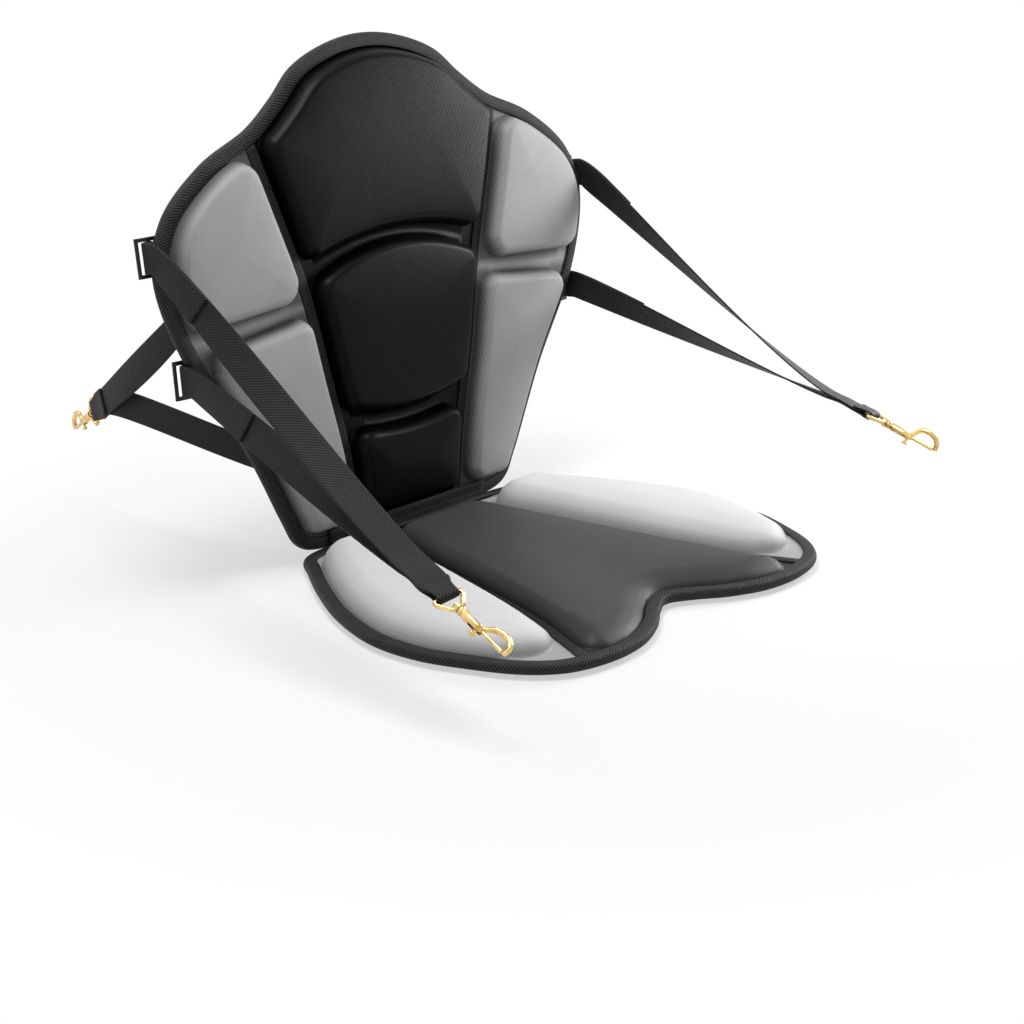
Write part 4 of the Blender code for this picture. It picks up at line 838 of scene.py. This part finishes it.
def makeBinding(name, node, rim, place, low, high):
    wall, reach, look = layers["bindWall"], layers["bindReach"], bindingLook
    low, high = low - gap - wall, high + gap + wall
    mid, half = (low + high) / 2, (high - low) / 2
    section = [(reach, high - look["lipFall"]), (reach - look["lip"], high), (look["crest"], high)]
    for k in range(9):
        a = math.radians(90 + 22.5 * k)
        soft, waist = min(look["soft"], half), 1 if k in (0, 8) else look["waist"]
        section.append((soft + soft * math.cos(a), mid + math.sin(a) * half * waist))
    section += [(look["crest"], low), (reach - look["lip"], low), (reach, low + look["lipFall"]),
                (reach, low + wall), (wall, low + wall), (wall, high - wall), (reach, high - wall)]
    section = np.array(section)
    across = farAlong(section)
    count, sides = look["rings"], len(section)
    share = np.linspace(0, 1, count // 2 + 1)
    path, inner = [mirrored(rim.at(share, inset)) for inset in (0.0, 1.0)]
    inward = inner - path
    spots = path[:, None] + inward[:, None] * section[None, :, 0:1]
    places = place(spots[..., 0], spots[..., 1], np.broadcast_to(section[None, :, 1], spots.shape[:2]))
    bm = bmesh.new()
    key = bm.verts.layers.int.new("key")
    rings = []
    for r in range(count):
        ring = [bm.verts.new(places[r, c]) for c in range(sides)]
        for c, vert in enumerate(ring):
            vert[key] = r * sides + c
        rings.append([bm.edges.new((ring[c], ring[c - 1])) for c in range(sides)])
    for a, b in zip(rings, rings[1:] + rings[:1]):
        bmesh.ops.bridge_loops(bm, edges=a + b)
    far = np.arange(count + 1) * 2 * rim.length / count
    layer = bm.loops.layers.uv.new("cloth")
    for face in bm.faces:
        ids = [divmod(loop.vert[key], sides) for loop in face.loops]
        lastRing = max(i[0] for i in ids) - min(i[0] for i in ids) > 2
        lastSide = max(i[1] for i in ids) - min(i[1] for i in ids) > 2
        for loop, (r, c) in zip(face.loops, ids):
            loop[layer].uv = (far[count if lastRing and r == 0 else r],
                              across[-1] + wall if lastSide and c == 0 else across[c])
    outward(bm)
    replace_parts(newPiece(name, bm, paints["binding"]), node)


makeBinding("backEdge", "back_binding", backLine, onBack, -coverBack, layers["flange"])
makeBinding("seatEdge", "seat_binding", seatLine, onSeat, layers["sole"], seatTop)


def makeTape(name, node, rim, seam, sign, level, place):
    inner = layers["bindReach"] + 2 * gap
    start = rim.at(0, inner)[1]
    v = np.linspace(0, layers["tapeWidth"], 9)
    lanes = []
    for offset in v - layers["tapeWidth"] / 2:
        share = whereSeam(rim, seam, offset, inner)
        along = np.linspace(start, rim.at(share, inner)[1], 110)
        lanes.append(np.stack([sign * (seamHalf(seam, along) + offset), along], -1))
    flat = np.stack(lanes, 1)
    pillow = 0.0005 * np.sin(math.pi * v / layers["tapeWidth"]).clip(0) ** 0.4 - 0.0005
    top = np.broadcast_to(level + layers["tapeThick"] + pillow[None, :], flat.shape[:2])
    cloth = np.stack([flat[..., 1], np.broadcast_to(v, flat.shape[:2])], -1)
    made = gridPiece(name, place(flat[..., 0], flat[..., 1], top), cloth, paints["tape"],
                     place(flat[..., 0], flat[..., 1], np.full(flat.shape[:2], level)))
    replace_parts(made, node)


for word, sign in (("left", -1), ("right", 1)):
    makeTape("backTape_" + word, "back_%s_seam_tape" % word, backLine, backSeam, sign,
             layers["flange"] + gap, onBack)
    makeTape("seatTape_" + word, "seat_%s_seam_tape" % word, seatLine, seatSeam, sign, seatTop + gap, onSeat)
print("bindings and tapes made")

# webbing: bands behind the back, straps to the snaps
bandHeights = {"upper": 0.292, "lower": 0.187}
tailLengths = {"upper": 0.046, "lower": 0.060}
buckleLook = {"bar": 0.00175, "fixed": -0.0155, "wrap": -0.0065}
strapLook = {"sag": 0.0120, "straightened": 0.12, "stitched": 0.030, "loopHalf": 0.0092, "steps": 14,
             "arrive": 0.16, "frontBend": 0.012, "rearBend": 0.03, "full": 0.016, "neck": 0.0095,
             "neckWide": 1.1, "loopNeck": 0.009, "loopNeckWide": 1.12, "loopNeckOff": 1.25,
             "besideEye": 0.004, "pastNeck": 0.0135, "pastNeckWide": 0.98,
             "loopReturn": {"front": 0.016, "rear": 0.032}, "eyeWire": 0.0019, "fineStep": 0.0030}
rearSewn = {"upperX": 0.205, "upperTop": 0.3000, "upperFoot": 0.2720, "lowerX": 0.120, "lowerZ": 0.088,
            "sewn": 0.0300}
snapPlaces = {
    "front_left": {"bar": (-0.2855, -0.147, 0.098), "to": (-0.09, -0.913, -0.40), "flat": True, "turn": 0},
    "front_right": {"bar": (0.278, -0.141, 0.110), "to": (0.092, -0.940, -0.33), "flat": True, "turn": 98},
    "rear_left": {"bar": (-0.168, 0.413, 0.103), "to": (0.265, 0.830, -0.490), "flat": False, "turn": 0},
    "rear_right": {"bar": (0.168, 0.413, 0.103), "to": (-0.265, 0.830, -0.490), "flat": False, "turn": 0},
}
firstLayer = bindBack + gap + layers["webThick"] / 2
wrapRadius = buckleLook["bar"] + gap + layers["webThick"] / 2
barBack = firstLayer + wrapRadius
eyeWrap = strapLook["eyeWire"] + gap + layers["webThick"] / 2


def between(a, b, start, end, t):
    return a * (end - t) / (end - start) + b * (t - start) / (end - start)


def fineStations(stations):
    # a smooth run through uneven stations of (middle, half width)
    rows = np.array([[*middle, *half] for middle, half in stations])
    rows = np.concatenate([[2 * rows[0] - rows[1]], rows, [2 * rows[-1] - rows[-2]]])
    step = np.maximum(np.linalg.norm(np.diff(rows[:, :3], axis=0), axis=1), 1e-6)
    knots = np.concatenate([[0], np.cumsum(step ** 0.5)])
    made = []
    for k in range(1, len(rows) - 2):
        p, q = rows[k - 1:k + 3], knots[k - 1:k + 3]
        count = max(2, int(round(step[k] / strapLook["fineStep"])))
        for i in range(count):
            t = q[1] + (q[2] - q[1]) * i / count
            a = [between(p[j], p[j + 1], q[j], q[j + 1], t) for j in range(3)]
            b = [between(a[j], a[j + 1], q[j], q[j + 2], t) for j in range(2)]
            made.append(between(b[0], b[1], q[1], q[2], t))
    made = np.array(made + [rows[-2]])
    return made[:, :3], made[:, 3:]


def webbingPiece(name, node, stations):
    middle, half = fineStations(stations)
    way = np.gradient(middle, axis=0)
    normal = np.cross(way, half)
    normal /= np.maximum(np.linalg.norm(normal, axis=1)[:, None], 1e-9)
    far = farAlong(middle)
    s = np.array([-1, -0.985, -0.94, -0.7, -0.35, 0, 0.35, 0.7, 0.94, 0.985, 1])
    thick = layers["webThick"] / 2 * np.array([0.35, 0.75, 1, 1, 1, 1, 1, 1, 1, 0.75, 0.35])
    spots = middle[:, None] + half[:, None] * s[None, :, None]
    off = normal[:, None] * thick[None, :, None]
    width = np.linalg.norm(half, axis=1)
    across = width[:, None] * s[None]
    cloth = np.stack([across, np.broadcast_to((far[-1] - far)[:, None], across.shape)], -1)
    made = gridPiece(name, spots + off, cloth, paints["web"], spots - off)
    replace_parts(made, node)


class EdgeFrame:
    # directions at a side edge of the back: outward, rearward, and up along its face
    def __init__(self, sign, height):
        self.sign = sign
        self.up = Vector((0, 2 * layers["lean"] * height, 1)).normalized()
        widths = [backLine.halfWidth(height + webHalf * (step / 4 - 1)) for step in range(-3, 9)]
        self.overBinding = max(widths) - min(widths[3:]) + layers["bindReach"] + 0.003
        self.edge = Vector(onBack(sign * max(widths), height, 0.0))
        self.rearward = Vector((0, 1, -2 * layers["lean"] * height)).normalized()

    def at(self, out, rearward):
        return self.edge + Vector((self.sign * out, 0, 0)) + self.rearward * rearward


def arcPoints(centre, radius, start, end, count):
    turns = [math.radians(start + (end - start) * step / count) for step in range(count + 1)]
    return [(centre[0] + radius * math.cos(a), centre[1] + radius * math.sin(a)) for a in turns]


def makeBand(level):
    half = {}
    for sign in (-1, 1):
        edge = EdgeFrame(sign, bandHeights[level])
        onCover = coverBack + gap + layers["webThick"] / 2
        over, fixed = edge.overBinding, buckleLook["fixed"]
        # close stations keep the long middle of the band flat on the cover
        run = [(-over - step, onCover) for step in (0.120, 0.060, 0.034, 0.022, 0.014)]
        run += [(-over - 0.007, (onCover + firstLayer) / 2)]
        run += [(-over, firstLayer), (fixed - 0.003, firstLayer)]
        run += arcPoints((fixed, barBack), wrapRadius, -90, 90, 8)
        run += [(fixed - 0.008, firstLayer + 1.4 * webStep), (fixed - 0.012, firstLayer + webStep)]
        run += [(fixed - 0.024, firstLayer + webStep)]
        half[sign] = [(edge.at(*spot), edge.up * webHalf) for spot in run]
    webbingPiece(level + "Band", level + "_back_band", [*reversed(half[-1]), *half[1]])


class SnapFrame:
    # directions at a snap: along it, along its strap bar, and off its flat
    def __init__(self, corner, swivelled=False):
        place = snapPlaces[corner]
        self.bar = Vector(place["bar"])
        self.along = Vector(place["to"]).normalized()
        self.sign = -1 if self.bar.x < 0 else 1
        up = Vector((0, 0, 1))
        if place["flat"]:
            self.side = ((self.along.cross(up) * self.sign).normalized() + 0.23 * up).normalized()
            self.side = (self.side - self.along * self.side.dot(self.along)).normalized()
            self.off = self.along.cross(self.side)
            self.off *= -1 if self.off.z < 0 else 1
        else:
            self.side = (up - self.along * up.dot(self.along)).normalized()
            self.off = self.along.cross(self.side)
            self.off *= -1 if self.off.x * self.sign < 0 else 1
        if swivelled and place["turn"]:
            turn = math.radians(place["turn"])
            side, off = self.side.copy(), self.off.copy()
            self.side = side * math.cos(turn) + off * math.sin(turn)
            self.off = off * math.cos(turn) - side * math.sin(turn)

    def at(self, along, side, off):
        return self.bar + self.along * along + self.side * side + self.off * off


def turnedHalf(start, end, share, way):
    mixed = start.slerp(end, share * share * (3 - 2 * share))
    square = (mixed - way * mixed.dot(way)).normalized()
    return start.lerp(square, min(share / strapLook["straightened"], 1))


def mainRun(start, startWay, end, endWay, up, side, bend, hang):
    # webbing from an edge of the back to a snap, twisting as it goes
    reach, count = (end - start).length, strapLook["steps"]
    first = start + startWay * min(bend, reach / 3)
    last = end - endWay * reach * strapLook["arrive"] - Vector((0, 0, hang))
    points = []
    for step in range(count + 1):
        t = step / count
        points.append(start * (1 - t) ** 3 + first * 3 * t * (1 - t) ** 2 + last * 3 * t * t * (1 - t)
                      + end * t ** 3)
    stations = []
    for k, point in enumerate(points):
        way = (points[min(k + 1, count)] - points[max(k - 1, 0)]).normalized()
        stations.append((point, turnedHalf(up, side, k / count, way), way))
    return stations


def snapEnd(corner, looped):
    snap, look = SnapFrame(corner), strapLook
    full, narrow = snap.side * webHalf, snap.side * look["loopHalf"]
    if not looped:
        spots = [(-look["stitched"], 0, full), (-look["full"], 0, full),
                 (-look["neck"], 0, narrow * look["neckWide"])]
    else:
        neckOff, neckHalf = look["loopNeckOff"] * webStep, narrow * look["loopNeckWide"]
        back = look["loopReturn"][corner.split("_")[0]]
        spots = [(-look["stitched"], -webStep, full), (-look["full"], -webStep, full),
                 (-look["loopNeck"], -neckOff, neckHalf), (-look["besideEye"], -eyeWrap, narrow)]
        spots += [(along, off, narrow) for along, off in arcPoints((0, 0), eyeWrap, -90, 90, 8)]
        spots += [(-look["besideEye"], eyeWrap, narrow), (-look["loopNeck"], neckOff, neckHalf),
                  (-look["pastNeck"], webStep, full * look["pastNeckWide"]), (-back, webStep, full)]
    return [(snap.at(along, 0, off), half) for along, off, half in spots]


def strapPiece(corner, level, stations, run, end):
    stations = stations + [(point, half * webHalf) for point, half, way in run[:-1]] + end
    webbingPiece("%s_%s_web" % (corner, level), "%s_%s_strap" % (corner, level), stations)


def makeFrontStrap(corner, level):
    snap = SnapFrame(corner)
    edge = EdgeFrame(snap.sign, bandHeights[level])
    end = snapEnd(corner, level == "lower")
    beside = gap + layers["webThick"] / 2 + 0.0002
    run = mainRun(edge.at(beside, -0.004), -edge.rearward, end[0][0], snap.along, edge.up, snap.side,
                  strapLook["frontBend"], strapLook["sag"])
    tail, length = [], 0.0
    for k, (point, half, way) in enumerate(run[1:], start=1):
        length += (point - run[k - 1][0]).length
        out = way.cross(half)
        out *= -1 if out.x * snap.sign < 0 else 1
        tail.append((point + out * webStep, half * webHalf))
        if length > tailLengths[level]:
            break
    wrap = [(beside + webStep, -0.004), (beside + webStep, 0.0035), (beside + 0.65 * webStep, firstLayer),
            (-0.0012, firstLayer + 1.2 * webStep), (-0.0034, firstLayer + 2.35 * webStep)]
    wrap += arcPoints((buckleLook["wrap"], barBack), wrapRadius, 70, 270, 8)
    wrap += [(-0.0030, firstLayer), (-0.0004, firstLayer - 0.0002), (beside - 0.0001, 0.0050)]
    wrap.append((beside, 0.0024))
    stations = list(reversed(tail)) + [(edge.at(*spot), edge.up * webHalf) for spot in wrap]
    strapPiece(corner, level, stations, run, end)


def makeRearStrap(corner, level):
    snap = SnapFrame(corner)
    end = snapEnd(corner, level == "lower")
    over = coverBack + gap + layers["webThick"] / 2
    if level == "upper":
        cross = Vector((snap.sign, 0, 0))
        over += webStep
        spots = [(rearSewn["upperX"], rearSewn["upperTop"]), (rearSewn["upperX"], rearSewn["upperFoot"])]
        way = -EdgeFrame(snap.sign, rearSewn["upperFoot"]).up
    else:
        cross = EdgeFrame(snap.sign, rearSewn["lowerZ"]).up
        spots = [(rearSewn["lowerX"] - back, rearSewn["lowerZ"]) for back in (rearSewn["sewn"], 0.0)]
        way = Vector((snap.sign, 0, 0))
    sewn = [Vector(onBack(snap.sign * x, z, -over)) for x, z in spots]
    run = mainRun(sewn[1], way, end[0][0], snap.along, cross, snap.side, strapLook["rearBend"], 0.0)
    stations = [(sewn[0], cross * webHalf), (sewn[0].lerp(sewn[1], 0.5), cross * webHalf)]
    strapPiece(corner, level, stations, run, end)


for level in bandHeights:
    makeBand(level)
    for corner in snapPlaces:
        (makeFrontStrap if corner.startswith("front") else makeRearStrap)(corner, level)
print("webbing made")

# brass snaps: eye, hook with its barrel, and the sprung bolt
snapLook = {"eyeHalf": 0.0125, "eyeSide": 0.0040, "bossStart": 0.0115, "bossEnd": 0.0155, "boss": 0.0040,
            "stud": 0.0015, "studRoom": 0.0003, "rivet": 0.0024, "rivetLong": 0.0016,
            "barrelEnd": 0.0420, "barrel": 0.0037, "bolt": 0.0016, "boltRoom": 0.0003, "boltRear": 0.0330,
            "bore": 0.0185, "wire": 0.0022, "tip": 0.0665, "bow": 0.0118, "travel": 0.0080,
            "knobAt": 0.0385, "post": 0.0012, "knob": 0.0028, "knobReach": 0.0082, "slot": 0.0030}


def turnedShape(bm, frame, profile, across=False, at=0.0, segments=40):
    # a profile of (along, radius) spun round the snap's length, or round a line across it
    axis = frame.side if across else frame.along
    spots = [frame.at(at, a, r) if across else frame.at(a, at, r) for a, r in profile]
    verts = [bm.verts.new(spot) for spot in spots]
    edges = [bm.edges.new(pair) for pair in zip(verts, verts[1:])]
    centre = frame.at(at, 0, 0) if across else frame.at(0, at, 0)
    bmesh.ops.spin(bm, geom=verts + edges, cent=centre, axis=axis, angle=2 * math.pi,
                   steps=segments, use_merge=True)
    bmesh.ops.remove_doubles(bm, verts=list(bm.verts), dist=0.000004)


def rod(start, end, radius):
    return [(start, 0), (start, radius), (end, radius), (end, 0)]


def softened(profile, cut):
    # a turned profile with each of its corners cut once
    made = [profile[0]]
    for before, spot, after in zip(profile, profile[1:], profile[2:]):
        for other in (before, after):
            share = min(cut / math.dist(spot, other), 0.45)
            made.append((spot[0] + (other[0] - spot[0]) * share, spot[1] + (other[1] - spot[1]) * share))
    return made + [profile[-1]]


def bentWire(bm, frame, points, radius, cyclic, taper=None, flat=1.0):
    # round wire through points of (along, side) or (along, side, off)
    curve = bpy.data.curves.new("wire", "CURVE")
    curve.dimensions = "3D"
    curve.bevel_depth, curve.bevel_resolution, curve.use_fill_caps = radius, 5, True
    rows = [(*p, *[0.0] * (3 - len(p)), w) for p, w in zip(points, taper or [1.0] * len(points))]
    fine = smoothRun(rows[-2:] + rows + rows[:3], 5)[10:-11] if cyclic else smoothRun(rows, 5)
    line = curve.splines.new("POLY")
    line.points.add(len(fine) - 1)
    for point, (along, side, off, wide) in zip(line.points, fine):
        point.co, point.radius = (along, side, off, 1), wide
    line.use_cyclic_u = cyclic
    holder = newObject("wire", curve)
    mesh = evaluatedMesh(holder)
    bpy.data.objects.remove(holder, do_unlink=True)
    part = bmesh.new()
    part.from_mesh(mesh)
    bmesh.ops.scale(part, vec=(1, 1, flat), verts=list(part.verts))
    for vert in part.verts:
        vert.co = frame.at(*vert.co)
    bmesh.ops.remove_doubles(part, verts=list(part.verts), dist=0.00002)
    outward(part)
    part.to_mesh(mesh)
    part.free()
    bm.from_mesh(mesh)


def cutAway(shape, cutter):
    # cuts one closed shape from another and gives back the result
    holders = []
    for name, bm in (("whole", shape), ("cutter", cutter)):
        outward(bm)
        holders.append(newObject(name, newMesh(name, bm)))
    step = holders[0].modifiers.new("cut", "BOOLEAN")
    step.operation, step.object = "DIFFERENCE", holders[1]
    mesh = evaluatedMesh(holders[0])
    for holder in holders:
        bpy.data.objects.remove(holder, do_unlink=True)
    made = bmesh.new()
    made.from_mesh(mesh)
    return made


def metalPiece(name, node, bm, body, paint="brass"):
    outward(bm)
    made = newPiece(name, bm, paints[paint], body)
    made.data.set_sharp_from_angle(angle=math.radians(40))
    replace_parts(made, node)
    return made


def makeEye(corner):
    frame, look = SnapFrame(corner), snapLook
    wire = strapLook["eyeWire"]
    half = look["eyeHalf"] - wire
    loop = [(0.0, -half), (0.0, -half / 2), (0.0, 0.0), (0.0, half / 2), (0.0, half), (0.0014, half + 0.0012)]
    loop += [(look["eyeSide"], half + 0.0011), (0.0085, half - 0.0025), (0.0125, 0.0052), (0.0135, 0.0022)]
    loop += [(along, -side) for along, side in reversed(loop[5:])]
    bm = bmesh.new()
    bentWire(bm, frame, loop, wire, True, flat=0.9)
    hole = look["stud"] + look["studRoom"]
    start, end, boss = look["bossStart"], look["bossEnd"], look["boss"]
    ring = softened([(start, hole), (start, boss), (end, boss), (end, hole)], 0.0005)
    turnedShape(bm, frame, ring + [ring[0]])
    metalPiece(corner + "Eye", corner + "_eye", bm, "seat")


def makeHook(corner):
    frame, look = SnapFrame(corner, True), snapLook
    start, end, r = look["bossEnd"] + gap, look["barrelEnd"], look["barrel"]
    profile = [(start, 0.0), (start, r * 0.86), (start + 0.0008, r), (start + 0.0030, r),
               (start + 0.0034, r * 0.82), (start + 0.0046, r * 0.82), (start + 0.0050, r),
               (end - 0.0042, r), (end - 0.0034, r * 0.9), (end - 0.0008, r * 0.9),
               (end, r * 0.72), (end, 0.0)]
    barrel = bmesh.new()
    turnedShape(barrel, frame, softened(profile, 0.00025))
    bore = bmesh.new()
    hole = look["bolt"] + look["boltRoom"]
    turnedShape(bore, frame, rod(look["bore"], end + 0.004, hole), segments=24)
    barrel = cutAway(barrel, bore)
    slot = bmesh.new()
    bmesh.ops.create_cube(slot, size=1)
    slotStart = look["knobAt"] - look["travel"] - look["post"] - look["boltRoom"]
    length = end + 0.004 - slotStart
    bmesh.ops.scale(slot, vec=(look["slot"], 0.008, length), verts=list(slot.verts))
    turned = Matrix((frame.off, frame.side, frame.along)).transposed().to_4x4()
    middle = frame.at(slotStart + length / 2, -0.004, 0)
    bmesh.ops.transform(slot, matrix=Matrix.Translation(middle) @ turned, verts=list(slot.verts))
    barrel = cutAway(barrel, slot)
    half = (look["tip"] - end) / 2
    bow = [(end - 0.0045, 0.0016), (end - 0.0015, 0.0026)]
    for step in range(9):
        a = math.radians(20 + 20 * step)
        bow.append((look["tip"] - half - half * math.cos(a), look["bow"] * math.sin(a) ** 0.8))
    bow[-1] = (look["tip"], 0.0)
    bentWire(barrel, frame, bow, look["wire"], False,
             [0.8, 0.95, 1.0, 1.05, 1.15, 1.2, 1.2, 1.15, 1.05, 1.0, 0.95])
    head = look["bossStart"] - gap
    turnedShape(barrel, frame, rod(head - 0.0012, start + 0.002, look["stud"]), segments=24)
    rivet = softened(rod(head - look["rivetLong"], head, look["rivet"]), 0.0006)
    turnedShape(barrel, frame, rivet, segments=28)
    metalPiece(corner + "Hook", corner + "_hook", barrel, corner + "_snap")


def makeBolt(corner):
    frame, look = SnapFrame(corner, True), snapLook
    nose = look["tip"] - look["wire"] - gap
    bm = bmesh.new()
    turnedShape(bm, frame, softened(rod(look["boltRear"], nose, look["bolt"]), 0.0005), segments=28)
    reach = -look["knobReach"]
    turnedShape(bm, frame, rod(reach + 0.0008, -0.0002, look["post"]), True, look["knobAt"], 20)
    turnedShape(bm, frame, softened([(reach, 0), (reach, look["knob"] * 0.9), (reach + 0.0012, look["knob"]),
                                     (reach + 0.0024, look["knob"] * 0.85), (reach + 0.0024, 0)], 0.0006),
                True, look["knobAt"], 28)
    metalPiece(corner + "Bolt", corner + "_bolt", bm, corner + "_slider")


springLook = {"radius": 0.0011, "wire": 0.0003, "turns": 5, "steps": 14}


def makeSpring(corner):
    # helix between the bore's end and the bolt
    frame, look, coil = SnapFrame(corner, True), snapLook, springLook
    start = look["bore"] + gap + coil["wire"]
    reach = look["boltRear"] - gap - coil["wire"] - start
    count = coil["turns"] * coil["steps"]
    turns = [2 * math.pi * k / coil["steps"] for k in range(count + 1)]
    run = [(start + reach * k / count, coil["radius"] * math.cos(a), coil["radius"] * math.sin(a))
           for k, a in enumerate(turns)]
    bm = bmesh.new()
    bentWire(bm, frame, run, coil["wire"], False)
    made = metalPiece(corner + "Spring", corner + "_spring", bm, corner + "_snap", "steel")
    tuple(frame.at(start, 0, 0))
    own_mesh(made)


for corner in snapPlaces:
    makeEye(corner)
    makeHook(corner)
    makeBolt(corner)
    makeSpring(corner)
print("snaps made")

# solids that keep their shape take their finish here
for node, made in frame["nodes"].items():
    key = {"buckle": "plastic", "stiffener": "sheet"}.get(node.split("_")[-1])
    if key:
        for slot in made.material_slots:
            slot.material = paints[key]

# floor, backdrop and soft studio light
stageLook = {"floor": 0.92, "plain": 0.30, "wide": 0.62, "near": 0.55, "world": 0.26}
lamps = {
    "topLamp": {"place": (-0.22, 0.05, 1.30), "aim": (0, 0.0, 0.1), "power": 10.0, "size": 0.50},
    "keyLamp": {"place": (0.95, -0.22, 0.45), "aim": (0.1, 0.1, 0.2), "power": 8.5, "size": 0.4},
    "rearLamp": {"place": (-0.3, 1.9, 1.7), "aim": (0, 0.2, 0.2), "power": 7.0, "size": 1.2},
}


def makeStage():
    bm = bmesh.new()
    bmesh.ops.create_grid(bm, x_segments=1, y_segments=1, size=8)
    bmesh.ops.translate(bm, verts=list(bm.verts), vec=(0, 0, -0.0004))
    floor = newObject("floor", newMesh("floor", bm))
    paint = Paint("floorPaint", {"Roughness": 0.9, "Specular IOR Level": 0.1,
                                 "Base Color": grey(stageLook["floor"])})
    floor.data.materials.append(paint.material)
    path = paint.plainRays()
    far = paint.add("ShaderNodeVectorMath", {"operation": "LENGTH"}, [paint.place()], out=1)
    mask = ((far - stageLook["plain"]) / (stageLook["wide"] - stageLook["plain"])).math("MAXIMUM", 0.0)
    glow = paint.add("ShaderNodeEmission", None, {"Color": grey(1.0), "Strength": 1.0})
    share = path * (mask.math("MINIMUM", 1.0) * (1 - stageLook["near"]) + stageLook["near"])
    paint.blended(share, Wire(paint, paint.shader.outputs[0]), glow, "Material Output")
    scene.world = bpy.data.worlds.new("studio")
    scene.world.use_nodes = True
    sky = Nodes(scene.world.node_tree)
    sky.tree.nodes.remove(sky.tree.nodes["Background"])
    dim, plain = [sky.add("ShaderNodeBackground", None, {"Color": grey(1.0), "Strength": level})
                  for level in (stageLook["world"], 1.0)]
    sky.blended(sky.plainRays(), dim, plain, "World Output")
    for name, look in lamps.items():
        data = bpy.data.lights.new(name, "AREA")
        data.energy, data.size = look["power"], look["size"]
        made = newObject(name, data)
        made.location = look["place"]
        way = Vector(look["aim"]) - Vector(look["place"])
        made.rotation_euler = way.to_track_quat("-Z", "Y").to_euler()


makeStage()
print("stage made")
